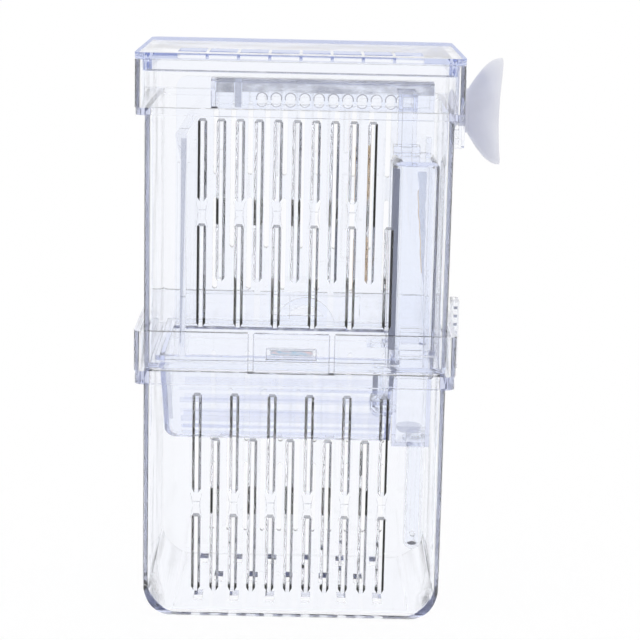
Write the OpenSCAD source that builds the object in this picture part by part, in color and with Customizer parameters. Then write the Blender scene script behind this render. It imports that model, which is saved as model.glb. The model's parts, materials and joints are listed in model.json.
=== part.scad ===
// Two-storey fish breeding box: a tall lower box carries an upper box in its widened rim.
// The upper box holds a hopper, a divider, a water-lift column and an overflow plate.
// Origin: centre of the base face. +X is the side with the suction cup, -Y is the front, +Z is up.

/* [Boxes] */
// Outside width of both boxes, along X
body_w = 100; // [90:1:120]
// Outside depth of both boxes, along Y
body_d = 70; // [66:1:90]
// Wall thickness of both boxes
wall = 2; // [1.6:0.1:2.4]
// Plan radius of the boxes' upright corners
corner_r = 3; // [3:0.5:6]
// Radius of the lower box's bottom corners, seen from the front
foot_r = 12.5; // [8:0.5:16]
// Radius of the lower box's front and back bottom edges
toe_r = 4; // [3:0.5:8]
// Height of the lower box up to the underside of its rim's ledge
lower_h = 81.7; // [78:0.1:100]
// Height of the upper box between its underside and its own ledge
upper_h = 83.8; // [80:0.1:100]
// Radius of the upper box's bottom edges
shoulder_r = 2; // [1:0.5:3]

/* [Rims] */
// Plan radius of the rims' upright corners
rim_r = 3.5; // [3.5:0.5:7]
// How far a rim stands out from the box wall
rim_step = 3; // [3:0.1:4]
// Height of the lower rim above its ledge
collar_h = 13.5; // [12:0.1:18]
// Height of the upper rim above its ledge
rim_h = 15.4; // [12:0.1:20]
// Thickness of the lower rim's ledge
collar_ledge = 4.3; // [3:0.1:5]
// Thickness of the upper rim's ledge
rim_ledge = 2.3; // [2:0.1:4]
// How far a ledge lies back from the rim's outer face
ledge_inset = 0.3; // [0.1:0.1:0.6]

/* [Wall slots] */
// Spacing of the upper box's slot columns
slot_pitch = 6.1; // [5:0.1:7]
// Spacing of the lower box's slot columns
lower_slot_pitch = 6.2; // [5:0.1:7]
// Number of slot columns on one wall
slot_columns = 11; // [7:1:13]
// How far the upper box's slot pattern lies left of the box's centre
slot_shift = 0.7; // [0:0.1:2]
// How far the lower box's slot pattern lies left of the box's centre
lower_slot_shift = 1.1; // [0:0.1:2]
// Width of a front slot at the outside of the wall
slot_throat = 1.3; // [1:0.1:1.6]
// Width of a front slot at the inside of the wall
slot_mouth = 3; // [1.8:0.1:3.4]
// Width of the straight slots in the back wall and in the overflow plate
back_slot_w = 1.8; // [1.4:0.1:2.4]
// Length of a short slot
slot_short = 26; // [20:0.5:28]
// Length of a middle slot
slot_mid = 33.3; // [25:0.1:35]
// Length of a long slot
slot_long = 52.3; // [45:0.1:58]
// Solid bridge between a short and a middle slot
slot_bridge = 8.2; // [5:0.1:10]
// Height of the lower box's slots above its base
lower_slot_z = 10; // [8:0.5:12]
// Height of the upper box's slots above its underside
upper_slot_z = 14.6; // [14:0.1:16]
// Width of a slot in the floor, along X
floor_slot_w = 3; // [2:0.1:3.6]
// Length of a slot in the floor, along Y
floor_slot_l = 9.5; // [7:0.5:12]
// Spacing of the rows of floor slots
floor_row_pitch = 20; // [16:0.5:21]

/* [Latches] */
// Width of a latch tongue
tongue_w = 24.5; // [20:0.5:30]
// Width of the slit on each side of a latch tongue
tongue_slit = 2.1; // [1:0.1:3]
// How far the latches lie left of the box's centre
tongue_shift = 1.25; // [0:0.05:2]
// Width of a latch window
window_w = 16.6; // [12:0.1:18]
// Height of a latch window
window_h = 3.9; // [3:0.1:5]
// Height of a latch window's centre above the ledge
window_z = 6.8; // [5:0.1:8]
// Width of the catch that a window holds
catch_w = 14.6; // [8:0.1:15]
// Height of the catch
catch_h = 1.7; // [1:0.1:2]

/* [Lid] */
// Thickness of the lid plate
lid_t = 2; // [1.5:0.1:3]
// Depth of the lid's plug inside the rim
plug_h = 4; // [3:0.1:6]
// Clearance between the plug and the rim
plug_gap = 0.6; // [0.3:0.1:1]
// Wall thickness of the plug
plug_wall = 2; // [1.5:0.1:3]
// Number of feeding windows in the lid
lid_windows = 8; // [4:1:8]
// Spacing of the feeding windows
lid_pitch = 10; // [8:0.1:10.5]
// Rib between two feeding windows
lid_rib = 1; // [0.8:0.1:2]
// Length of a feeding window, from front to back
lid_window_l = 16; // [10:0.5:20]
// Distance of the feeding windows from the plug's front wall
lid_window_in = 3; // [2:0.5:6]

/* [Hopper] */
// Distance of the hopper from the box's left wall
hopper_end = 3.2; // [2.8:0.1:8]
// Depth of the hopper below the upper box's floor
hopper_h = 33.3; // [25:0.1:40]
// Distance of the hopper's mouth from the box's front wall
hopper_side = 4; // [3.7:0.1:8]
// Wall thickness of the hopper
hopper_wall = 1.6; // [1.2:0.1:2]
// Radius of the hopper's lower corners, seen from the front
keel_r = 4; // [2:0.5:6]
// Width of the slit along the hopper's keel
keel_slit = 2.4; // [1.5:0.1:3]
// Number of slits along the keel
keel_slits = 4; // [2:1:6]
// Width of a bridge between two slits
keel_bridge = 3; // [2:0.5:5]
// Thickness of the hopper's flange
hopper_flange = 1.6; // [1:0.1:2]
// How far the flanges of the hopper and of the lift column lie on the floor
flange_reach = 1.6; // [1:0.1:2]
// Radius of the hopper's half-moon grip
grip_r = 10.5; // [8:0.1:12]
// Radius of the hole in the grip
grip_hole_r = 7.5; // [5:0.1:7.8]
// Height of the grip hole's flat edge above the grip's centre
grip_chord = 3.9; // [3:0.1:4.5]
// Thickness of the grip
grip_t = 2; // [1.5:0.1:3]
// Place of the grip, right of the box's centre
grip_x = 3; // [0:0.5:5]

/* [Divider] */
// Distance of the divider's middle from the box's left wall
side_room = 10.8; // [8:0.1:12]
// Thickness of the divider
divider_t = 1.9; // [1.2:0.1:2]
// Height of the divider
divider_h = 73.5; // [50:0.5:75]
// Thickness of the finger bead along the divider's top edge
bead_t = 3.7; // [3:0.1:5]
// Height of the finger bead
bead_h = 9; // [5:0.1:11]
// Height of the bead's upright outer face
bead_lip = 1; // [0.5:0.1:3]
// Width of a guide rib
guide_w = 0.8; // [0.6:0.1:1]
// Height of a guide rib above its wall
guide_t = 1.2; // [1:0.1:1.5]

/* [Overflow plate and spray channel] */
// Thickness of the overflow plate
plate_t = 1; // [0.8:0.1:1.2]
// Distance of the plate's left edge from the box's left wall
plate_inset = 4; // [1:0.5:6]
// Gap between the plate's right edge and the rounded corner of the box
plate_end_gap = 0.3; // [0.3:0.1:1]
// Radius of the plate's upper corners
plate_r = 4; // [3:0.5:8]
// How far the plate stands above the upper ledge
plate_rise = 4.6; // [3:0.1:6]
// Solid strip of the plate between its slots and its arched outlets
plate_sill = 1.5; // [1:0.1:3]
// Number of arched outlets
arch_count = 10; // [6:1:10]
// Spacing of the arched outlets
arch_pitch = 5; // [4.5:0.1:5.2]
// Width of an arched outlet
arch_w = 3.4; // [2.5:0.1:3.6]
// Height of an arched outlet
arch_h = 4.4; // [3.8:0.1:5]
// Place of the first arched outlet, left of the box's centre
arch_left = 13.6; // [10:0.1:15]
// Depth of the spray channel, along Y
channel_d = 8; // [6:0.1:9]
// Height of the spray channel
channel_h = 10.5; // [9:0.1:11]
// Radius of the spray channel's upper front edge
channel_r = 4; // [2:0.5:5]
// How far the spray channel's underside lies below the upper ledge
channel_drop = 5.9; // [5:0.1:7]
// Distance of the channel's closed end from the plate's left edge
channel_start = 12.5; // [8:0.5:16]
// Distance of the channel's fed end from the plate's right edge
channel_end = 0.8; // [0.5:0.1:4]
// Wall thickness of the channel, the riser and the foot
duct_wall = 1.4; // [1.2:0.1:1.8]

/* [Water lift] */
// Width of the lift column, along X
tube_w = 15.7; // [13:0.1:16]
// Gap between the lift column and the box's right wall
tube_gap = 0.8; // [0.5:0.1:1]
// Depth of the lift column, along Y
tube_d = 28; // [24:0.5:30]
// Wall thickness of the lift column
tube_wall = 1.8; // [1.4:0.1:2]
// Plan radius of the lift column's corners
tube_r = 4; // [3:0.5:5]
// Radius of the lift column's top edges
tube_top_r = 3; // [2:0.5:4]
// Height of the lift column above the upper box's floor
tube_h = 65.7; // [50:0.1:66]
// Length of the lift column below the upper box's underside
tube_drop = 6.3; // [5:0.1:8]
// Thickness of the column's flange on the floor
tube_flange = 1.5; // [1.2:0.1:2]
// Width of the riser duct
riser_w = 6.5; // [5.5:0.1:7]
// Height of the foot below the column
foot_h = 24.2; // [20:0.1:26]
// Width of the foot's socket, along X
foot_w = 13; // [11.5:0.1:13.5]
// Depth of the foot, along Y
foot_d = 24; // [20:0.5:26]
// Height of the top of the foot's air arm above the foot's underside
arm_top = 14; // [13:0.1:16]
// Height of the foot's air arm
arm_h = 5; // [5:0.1:6]
// Length of the air arm, along X
arm_l = 7.2; // [6.6:0.1:7.8]
// Width of the air arm, along Y
arm_w = 8; // [6.4:0.1:8.6]
// Radius of the air arm's lower edge
arm_r = 3; // [2:0.1:3]
// Outer radius of the intake pipe
pipe_r = 3.2; // [2.6:0.1:3.4]
// Wall thickness of the intake pipe
pipe_wall = 1; // [0.8:0.1:1.2]
// Length of the intake pipe below the foot
pipe_l = 40.4; // [30:0.1:48]
// Radius of the inlet holes near the pipe's end
inlet_r = 1; // [0.7:0.1:1.4]
// Outer radius of the air nozzle
nozzle_r = 1.9; // [1.5:0.1:2.1]
// Radius of the air nozzle's bore
nozzle_bore_r = 1.1; // [0.8:0.1:1.2]
// Height of the air nozzle above its base
nozzle_h = 11.5; // [10:0.5:13]
// Radius of the nozzle's hose bead
nozzle_bead_r = 2.6; // [2.3:0.1:2.8]
// Thickness of the hook on the column's top
hook_t = 1.8; // [1.4:0.1:2.4]
// Height of the hook above the column's top
hook_h = 6.8; // [5:0.1:8]
// How far the hook reaches forward
hook_reach = 4.5; // [3:0.1:6]

/* [Suction cup] */
// Radius of the suction cup's rim
cup_r = 18; // [15:0.5:22]
// Length of the cup, from the bracket to the glass
cup_l = 13.8; // [11:0.1:16]
// Length of the cup's straight neck
cup_neck_l = 1.6; // [0.5:0.1:3]
// Radius of the bell at its neck
cup_neck_r = 7.5; // [6.5:0.1:8]
// Width of the flat ring that meets the glass
cup_ring = 1.1; // [0.8:0.1:2]
// Depth of the cup's hollow
cup_hollow = 9; // [6:0.1:9.5]
// Radius of the stem that passes through the bracket
stem_r = 5; // [4:0.1:5.5]
// Radius of the head behind the bracket
head_r = 7; // [6:0.1:7.5]
// Running clearance of the stem in the bracket, on the radius
stem_gap = 0.1; // [0.05:0.01:0.1]
// Thickness of the bracket plate
bracket_t = 2; // [1.5:0.1:3]
// Width of the bracket, along Y
bracket_w = 19; // [17:0.5:24]
// Height of the bracket
bracket_h = 26; // [24:0.5:27]
// Distance from the bracket's lower end to the stem's axis
bracket_stem_z = 12; // [10:0.5:13]
// Radius of the bracket's corners
bracket_r = 3; // [1:0.5:4]
// Height of the bracket's lower ribs
rib_low_h = 3.4; // [2:0.1:4]
// Height of the bracket's upper ribs
rib_high_h = 2.2; // [1.5:0.1:3]
// Gap between the bracket's ribs
rib_gap = 0.6; // [0.4:0.1:1]
// How much narrower than the stem the bracket's entry is
snap = 1.4; // [0.6:0.1:2]
// Distance of the stem's axis below the top of the upper ledge
stem_drop = 2.4; // [1:0.1:4]

/* [Side rack] */
// Height of the rack
rack_h = 23.2; // [20:0.1:26]
// Width of the rack, along Y
rack_w = 10; // [6:0.5:14]
// Thickness of the rack
rack_t = 2.6; // [2.2:0.1:3]
// Number of windows in the rack
rack_windows = 4; // [2:1:4]
// Spacing of the rack's windows
rack_pitch = 2.9; // [2.4:0.1:3]
// Height of a window in the rack
rack_window_h = 1; // [0.6:0.1:1.2]
// Wall left on each side of a rack window
rack_wall = 0.7; // [0.5:0.1:0.9]

/* [Fits] */
// Gap between a piece and the seat that it rests on
seat_gap = 0.3; // [0.2:0.05:0.4]
// Gap between the upper box's catch and the lower rim
catch_gap = 0.1; // [0.05:0.05:0.3]
// Smoothness of round parts
facets = 64; // [32:16:128]
// Number of steps along the curve of the cup's bell
steps = 10; // [6:1:16]

/* [Hidden] */
$fn = facets;
// Overshoot of a cut past the face that it leaves by
cut = 1;
clear_tint = "lavender";
latch_tint = "lightsteelblue";
insert_tint = "powderblue";
cup_tint = "silver";

// Heights of the storeys
collar_z = lower_h + collar_ledge;
collar_top = collar_z + collar_h;
upper_z = collar_z + seat_gap;
floor_z = upper_z + wall;
rim_z = upper_z + upper_h + rim_ledge;
rim_top = rim_z + rim_h;
lid_z = rim_top + seat_gap;
// Walls, as distances from the middle planes
half_w = body_w / 2;
half_d = body_d / 2;
inner_w = body_w - 2 * wall;
inner_d = body_d - 2 * wall;
rim_w = body_w + 2 * rim_step;
rim_d = body_d + 2 * rim_step;
ledge_w = rim_w - 2 * ledge_inset;
ledge_d = rim_d - 2 * ledge_inset;
rim_inner_w = rim_w - 2 * wall;
rim_inner_d = rim_d - 2 * wall;
rim_face = rim_w / 2;
// Latches
tongue_bottom = collar_z + seat_gap;
tongue_x = -tongue_shift;
window_mid = collar_z + window_z;
// Water lift, from the right wall inwards
tube_right = half_w - wall - tube_gap;
tube_left = tube_right - tube_w;
tube_x = (tube_left + tube_right) / 2;
tube_bottom = upper_z - tube_drop;
tube_top = floor_z + tube_h;
foot_top = tube_bottom - seat_gap;
foot_bottom = foot_top - foot_h;
foot_right = tube_right - duct_wall / 2;
socket_left = foot_right - foot_w;
arm_left = socket_left - arm_l;
arm_high = foot_bottom + arm_top;
arm_low = arm_high - arm_h;
nozzle_x = arm_left + nozzle_bead_r;
hose_r = nozzle_bead_r + 2 * seat_gap;
pipe_x = foot_right - pipe_r - pipe_wall;
// Openings in the upper box's floor
lift_hole_left = tube_left - seat_gap;
lift_hole_right = tube_right + seat_gap;
lift_hole_d = tube_d + 2 * seat_gap;
hopper_left = -inner_w / 2 + hopper_end;
hopper_right = socket_left - seat_gap;
hopper_l = hopper_right - hopper_left;
hopper_d = inner_d - 2 * hopper_side;
hopper_mid = (hopper_left + hopper_right) / 2;
hopper_z = floor_z + seat_gap;
hopper_bottom = upper_z - hopper_h + wall;
keel_half = keel_slit / 2 + hopper_wall;
flange_top = hopper_z + hopper_flange;
// Overflow plate, against the back wall's inner face
inner_r = corner_r - wall;
corner_inset = inner_r - sqrt(2 * inner_r * seat_gap - pow(seat_gap, 2));
plate_left = inner_w / 2 - plate_inset;
plate_right = inner_w / 2 - corner_inset - plate_end_gap;
plate_back = half_d - wall - seat_gap;
plate_front = plate_back - plate_t;
plate_top = rim_z + plate_rise;
channel_left = plate_left - channel_start;
channel_right = plate_right - channel_end;
channel_z = rim_z - channel_drop;
channel_back = plate_front - seat_gap;
channel_front = channel_back - channel_d;
arch_z = channel_z + duct_wall;
// Divider
divider_x = inner_w / 2 - side_room;
divider_z = flange_top + seat_gap;
divider_front = -half_d + wall + seat_gap;
divider_back = plate_front - seat_gap;
// Cup and bracket
stem_z = rim_z - stem_drop;
bracket_face = rim_face + seat_gap / 2;
bracket_out = bracket_face + bracket_t;
head_back = half_w + seat_gap;
cup_start = bracket_out + seat_gap;

// Rectangle with round corners, centred on the origin
module rounded_rect(w, d, r) {
    square([w - 2 * r, d], center = true);
    square([w, d - 2 * r], center = true);
    for (x = [-1, 1], y = [-1, 1]) translate([x * (w / 2 - r), y * (d / 2 - r)]) circle(r);
}

// Rectangle that stands on the X axis, with its two lower corners round
module cradle(w, h, r) {
    translate([-w / 2, r]) square([w, h - r]);
    translate([-w / 2 + r, 0]) square([w - 2 * r, h]);
    for (x = [-1, 1]) translate([x * (w / 2 - r), r]) circle(r);
}

// Upright prism of a rounded rectangle, from height z0 to z1
module slab(w, d, r, z0, z1) {
    translate([0, 0, z0]) linear_extrude(z1 - z0) rounded_rect(w, d, r);
}

// Rectangle that stands on the X axis from the origin on, with its lower left corner round
module scoop(w, h, r) {
    intersection() {
        square([w, h]);
        union() {
            translate([0, r]) square([w, h]);
            translate([r, 0]) square([w, h]);
            translate([r, r]) circle(r);
        }
    }
}

// Box body with round plan corners, round bottom corners and round front and back bottom edges
module tub(w, d, r, end_r, edge_r, z0, z1) {
    intersection() {
        slab(w, d, r, z0, z1);
        translate([0, d, z0]) rotate([90, 0, 0]) linear_extrude(2 * d) cradle(w, z1 - z0, end_r);
        translate([-w, 0, z0]) rotate([90, 0, 90]) linear_extrude(2 * w) cradle(d, z1 - z0, edge_r);
    }
}

// Box from its lowest corner to its highest one
module block(low, high) {
    translate(low) cube(high - low);
}

// One slot through the front wall: wider inside, with a sloping lower end
module wall_slot(x, z0, z1) {
    outer_y = -half_d - cut;
    inner_y = -half_d + wall + cut;
    slope = (slot_mouth - slot_throat) / 2 / wall;
    outer_half = slot_throat / 2 - slope * cut;
    inner_half = slot_mouth / 2 + slope * cut;
    intersection() {
        translate([x, 0, z0 - wall]) linear_extrude(z1 - z0 + 2 * wall)
            polygon([[-outer_half, outer_y], [outer_half, outer_y],
                     [inner_half, inner_y], [-inner_half, inner_y]]);
        translate([x - slot_mouth, 0, 0]) rotate([90, 0, 90]) linear_extrude(2 * slot_mouth)
            polygon([[outer_y, z0 - cut / 2], [outer_y, z1],
                     [inner_y, z1], [inner_y, z0 + (wall + cut) / 2]]);
    }
}

// Heights of the slots in one column, counted from the field's lower edge
// In a low field the long slots stand at the bottom, in a high field they hang from the top
function field_h() = slot_short + slot_bridge + slot_mid;
function column_spans(even, low) =
    even
        ? (low
            ? [[0, slot_short], [slot_short + slot_bridge, field_h()]]
            : [[0, slot_mid], [slot_mid + slot_bridge, field_h()]])
        : (low
            ? [[0, slot_long]]
            : [[field_h() - slot_long, field_h()]]);
function column_x(i, low) =
    (i - (slot_columns - 1) / 2) * (low ? lower_slot_pitch : slot_pitch)
    - (low ? lower_slot_shift : slot_shift);

// All slots of one front wall; the last column keeps only its lower slot where skip_last is set
module slot_field(z, low, skip_last) {
    for (i = [0 : slot_columns - 1])
        for (span = column_spans(i % 2 == 0, low))
            if (!(skip_last && i == slot_columns - 1 && span[0] > 0))
                wall_slot(column_x(i, low), z + span[0], z + span[1]);
}

// One straight slot with round ends, cut from y0 to y1
module straight_slot(x, y0, y1, z0, z1) {
    r = back_slot_w / 2;
    translate([x, y1, 0]) rotate([90, 0, 0]) linear_extrude(y1 - y0) {
        translate([-r, z0 + r]) square([2 * r, z1 - z0 - 2 * r]);
        translate([0, z0 + r]) circle(r);
        translate([0, z1 - r]) circle(r);
    }
}

// Slots of the front wall and, in the same pattern turned about, of the back wall
module both_fields(z, low) {
    slot_field(z, low, !low);
    for (i = [0 : slot_columns - 1], span = column_spans(i % 2 == 0, low))
        straight_slot(-column_x(i, low), half_d - wall - cut, half_d + cut, z + span[0], z + span[1]);
}

// Staggered rows of slots in the lower box's floor
module floor_slots() {
    first_row = -floor_row_pitch + floor_slot_l / 2;
    for (row = [0 : 2], i = [row % 2 : 2 : slot_columns - 1]) {
        y = first_row + row * floor_row_pitch;
        block([column_x(i, true) - floor_slot_w / 2, y - floor_slot_l / 2, -cut],
              [column_x(i, true) + floor_slot_w / 2, y + floor_slot_l / 2, wall + cut]);
    }
}

// Space for a latch tongue and its slits, cut through the front of the lower rim
module tongue_gap() {
    half = tongue_w / 2 + tongue_slit;
    block([tongue_x - half, -rim_d / 2 - cut, collar_z],
          [tongue_x + half, -rim_inner_d / 2 + cut, collar_top + cut]);
}

module lower_box() {
    color(clear_tint, 0.5) difference() {
        union() {
            tub(body_w, body_d, corner_r, foot_r, toe_r, 0, collar_z);
            slab(ledge_w, ledge_d, rim_r - ledge_inset, lower_h, collar_z);
            slab(rim_w, rim_d, rim_r, collar_z, collar_top);
        }
        tub(inner_w, inner_d, corner_r - wall, foot_r - wall, toe_r - wall, wall, collar_z + cut);
        slab(rim_inner_w, rim_inner_d, rim_r - wall, collar_z, collar_top + cut);
        both_fields(lower_slot_z, true);
        floor_slots();
        tongue_gap();
        mirror([0, 1, 0]) tongue_gap();
    }
}

// Tongue with its window, at the front of the lower rim
module tongue() {
    color(latch_tint, 0.6) difference() {
        block([tongue_x - tongue_w / 2, -rim_d / 2, tongue_bottom],
              [tongue_x + tongue_w / 2, -rim_inner_d / 2, collar_top]);
        block([tongue_x - window_w / 2, -rim_d / 2 - cut, window_mid - window_h / 2],
              [tongue_x + window_w / 2, -rim_inner_d / 2 + cut, window_mid + window_h / 2]);
    }
}

module front_latch() {
    tongue();
}

module back_latch() {
    mirror([0, 1, 0]) tongue();
}

// Toothed strip on the right of the lower rim, for a hanger at several heights
module side_rack() {
    face = rim_face + seat_gap / 2;
    top = lower_h + rack_h;
    color(clear_tint, 0.6) difference() {
        block([face, -rack_w / 2, lower_h], [face + rack_t, rack_w / 2, top]);
        for (i = [0 : rack_windows - 1])
            translate([0, 0, top - rack_pitch * (i + 0.5) - rack_window_h])
                block([face + rack_wall, -rack_w / 2 - cut, 0],
                      [face + rack_t - rack_wall, rack_w / 2 + cut, rack_window_h]);
    }
}

// Catch on the front of the upper box, which lies in the latch window
module catch() {
    reach = rim_step - wall - catch_gap;
    block([tongue_x - catch_w / 2, -half_d - reach, window_mid - catch_h / 2],
          [tongue_x + catch_w / 2, -half_d + wall / 2, window_mid + catch_h / 2]);
}

// Pair of upright ribs that guide the divider along the front wall
module divider_guides() {
    for (side = [-1, 1])
        translate([-divider_x + side * (divider_t / 2 + seat_gap + guide_w / 2), 0, 0])
            block([-guide_w / 2, -half_d + wall / 2, floor_z - wall / 2],
                  [guide_w / 2, -half_d + wall + guide_t, divider_z + divider_h - bead_h - seat_gap]);
}

module upper_box() {
    color(clear_tint, 0.5) difference() {
        union() {
            difference() {
                union() {
                    tub(body_w, body_d, corner_r, shoulder_r, shoulder_r, upper_z, rim_z);
                    slab(ledge_w, ledge_d, rim_r - ledge_inset, rim_z - rim_ledge, rim_z);
                    slab(rim_w, rim_d, rim_r, rim_z, rim_top);
                }
                slab(inner_w, inner_d, corner_r - wall, floor_z, rim_z + cut);
                slab(rim_inner_w, rim_inner_d, rim_r - wall, rim_z, rim_top + cut);
            }
            catch();
            mirror([0, 1, 0]) catch();
            divider_guides();
        }
        both_fields(upper_z + upper_slot_z, false);
        block([hopper_left - seat_gap, -hopper_d / 2 - seat_gap, upper_z - cut],
              [hopper_right + seat_gap, hopper_d / 2 + seat_gap, floor_z]);
        block([lift_hole_left, -lift_hole_d / 2, upper_z - cut],
              [lift_hole_right, lift_hole_d / 2, floor_z]);
        translate([half_w + seat_gap / 2, 0, stem_z]) rotate([0, 90, 0])
            cylinder(h = rim_step + cut, r = head_r + seat_gap);
    }
}

// Hopper's cross-section across the box, half_top wide at its mouth and half_keel at its keel
module hopper_section(half_top, half_keel, z0, z1) {
    rotate([90, 0, 90]) linear_extrude(hopper_l)
        polygon([[-half_top, z1], [half_top, z1], [half_keel, z0], [-half_keel, z0]]);
}

module hopper_grip() {
    grip_y = hopper_d / 2 - grip_t / 2;
    translate([grip_x, grip_y + grip_t / 2, hopper_z]) rotate([90, 0, 0]) linear_extrude(grip_t)
        difference() {
            intersection() {
                circle(grip_r);
                translate([-grip_r, hopper_flange / 2]) square([2 * grip_r, grip_r]);
            }
            intersection() {
                circle(grip_hole_r);
                translate([-grip_hole_r, grip_chord]) square([2 * grip_hole_r, grip_r]);
            }
        }
}

module hopper() {
    keel_top = hopper_bottom + hopper_wall;
    mouth_half = hopper_d / 2 - hopper_wall;
    slit_l = (hopper_l - 2 * keel_r - (keel_slits - 1) * keel_bridge) / keel_slits;
    color(insert_tint, 0.6) {
        difference() {
            union() {
                intersection() {
                    translate([hopper_left, 0, 0])
                        hopper_section(hopper_d / 2, keel_half, hopper_bottom, hopper_z);
                    translate([hopper_left, hopper_d, hopper_bottom]) rotate([90, 0, 0])
                        linear_extrude(2 * hopper_d)
                            scoop(hopper_l, hopper_z - hopper_bottom + cut, keel_r);
                }
                translate([hopper_mid, 0, 0])
                    slab(hopper_l + 2 * flange_reach, hopper_d + 2 * flange_reach, hopper_wall,
                         hopper_z, flange_top);
            }
            intersection() {
                translate([hopper_left, 0, 0])
                    hopper_section(mouth_half, keel_slit / 2, keel_top, hopper_z);
                translate([hopper_left + hopper_wall, hopper_d, keel_top]) rotate([90, 0, 0])
                    linear_extrude(2 * hopper_d)
                        scoop(hopper_l - 2 * hopper_wall, hopper_z - keel_top + cut,
                              keel_r - hopper_wall);
            }
            block([hopper_left + hopper_wall, -mouth_half, hopper_z],
                  [hopper_right - hopper_wall, mouth_half, flange_top + cut]);
            block([lift_hole_left, -lift_hole_d / 2, tube_bottom - seat_gap],
                  [hopper_right + 2 * flange_reach, lift_hole_d / 2, flange_top + cut]);
            block([hopper_right - hopper_wall - cut, -arm_w / 2 - seat_gap, arm_low - seat_gap],
                  [hopper_right + cut, arm_w / 2 + seat_gap, tube_bottom]);
            for (i = [0 : keel_slits - 1])
                translate([hopper_left + keel_r + i * (slit_l + keel_bridge), 0, 0])
                    block([0, -keel_slit / 2, hopper_bottom - cut], [slit_l, keel_slit / 2, keel_top + cut]);
        }
        hopper_grip();
    }
}

module divider() {
    top = divider_z + divider_h;
    color(insert_tint, 0.7) translate([-divider_x, 0, 0]) {
        block([-divider_t / 2, divider_front, divider_z], [divider_t / 2, divider_back, top]);
        translate([divider_t / 2, divider_back, top]) rotate([90, 0, 0])
            linear_extrude(divider_back - divider_front)
                polygon([[0, 0], [-bead_t, 0], [-bead_t, -bead_lip], [-divider_t, -bead_h],
                         [0, -bead_h]]);
    }
}

// One arched outlet, standing on its sill
module arch(w, h) {
    translate([-w / 2, 0]) square([w, h - w / 2]);
    translate([0, h - w / 2]) circle(w / 2);
}

// Row of arched outlets, cut from y0 to y1
module arch_row(y0, y1) {
    for (i = [0 : arch_count - 1])
        translate([-arch_left + i * arch_pitch, y1, arch_z]) rotate([90, 0, 0])
            linear_extrude(y1 - y0) arch(arch_w, arch_h);
}

module overflow_plate() {
    plate_w = plate_left + plate_right;
    plate_h = plate_top - hopper_z;
    field_z = upper_z + upper_slot_z;
    color(insert_tint, 0.5) difference() {
        union() {
            translate([(plate_right - plate_left) / 2, plate_back, plate_top]) rotate([-90, 0, 0])
                translate([0, 0, -plate_t]) linear_extrude(plate_t) cradle(plate_w, plate_h, plate_r);
            for (side = [-1, 1])
                translate([-divider_x + side * (divider_t / 2 + seat_gap + guide_w / 2), 0, 0])
                    block([-guide_w / 2, plate_front - guide_t, divider_z],
                          [guide_w / 2, plate_front + plate_t / 2,
                           divider_z + divider_h - bead_h - seat_gap]);
        }
        for (i = [0 : slot_columns - 1], span = column_spans(i % 2 == 0, false))
            straight_slot(-column_x(i, false), plate_front - cut, plate_back + cut, field_z + span[0],
                          min(field_z + span[1], arch_z - plate_sill));
        arch_row(plate_front - cut, plate_back + cut);
    }
}

// Length of square-cornered channel whose upper front edge is round, drawn in by a margin
module channel_bar(margin) {
    r = channel_r - margin;
    low_y = channel_front + margin;
    low_z = channel_z + margin;
    d = channel_d - 2 * margin;
    h = channel_h - 2 * margin;
    translate([-channel_left + margin, 0, 0]) rotate([90, 0, 90])
        linear_extrude(channel_left + channel_right - 2 * margin) {
            translate([low_y, low_z]) square([d, h - r]);
            translate([low_y + r, low_z]) square([d - r, h]);
            translate([low_y + r, low_z + h - r]) circle(r);
        }
}

module spray_channel() {
    feed_z = channel_z + channel_h / 2;
    color(insert_tint, 0.7) difference() {
        channel_bar(0);
        channel_bar(duct_wall);
        arch_row(channel_front - cut, channel_front + duct_wall + cut);
        block([riser_x - riser_w / 2 + duct_wall, channel_front - cut, feed_z - riser_w / 2 + duct_wall],
              [riser_x + riser_w / 2 - duct_wall, channel_front + duct_wall + cut,
               feed_z + riser_w / 2 - duct_wall]);
    }
}

// Riser: an elbow of square duct from the column's top to the spray channel's front
riser_x = tube_left + tube_wall + riser_w / 2;
riser_y = tube_d / 2 - tube_r - riser_w / 2;
module riser_duct() {
    half = riser_w / 2;
    bore = half - duct_wall;
    mid_z = channel_z + channel_h / 2;
    end_y = channel_front - seat_gap;
    color(insert_tint, 0.7) difference() {
        union() {
            block([riser_x - half, riser_y - half, tube_top - tube_wall],
                  [riser_x + half, riser_y + half, mid_z + half]);
            block([riser_x - half, riser_y - half, mid_z - half], [riser_x + half, end_y, mid_z + half]);
            block([riser_x - half - duct_wall, riser_y - half - duct_wall, tube_top + seat_gap],
                  [riser_x + half + duct_wall, riser_y + half + duct_wall,
                   tube_top + seat_gap + 2 * duct_wall]);
        }
        block([riser_x - bore, riser_y - bore, tube_top - tube_wall - cut],
              [riser_x + bore, riser_y + bore, mid_z + bore]);
        block([riser_x - bore, riser_y - bore, mid_z - bore], [riser_x + bore, end_y + cut, mid_z + bore]);
    }
}

// Solid of the lift column, with its top edges round
module column_solid(w, d, r, top_r, z0, z1) {
    intersection() {
        slab(w, d, r, z0, z1);
        translate([0, -d, z1]) rotate([-90, 0, 0]) linear_extrude(2 * d) cradle(w, z1 - z0, top_r);
    }
}

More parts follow.
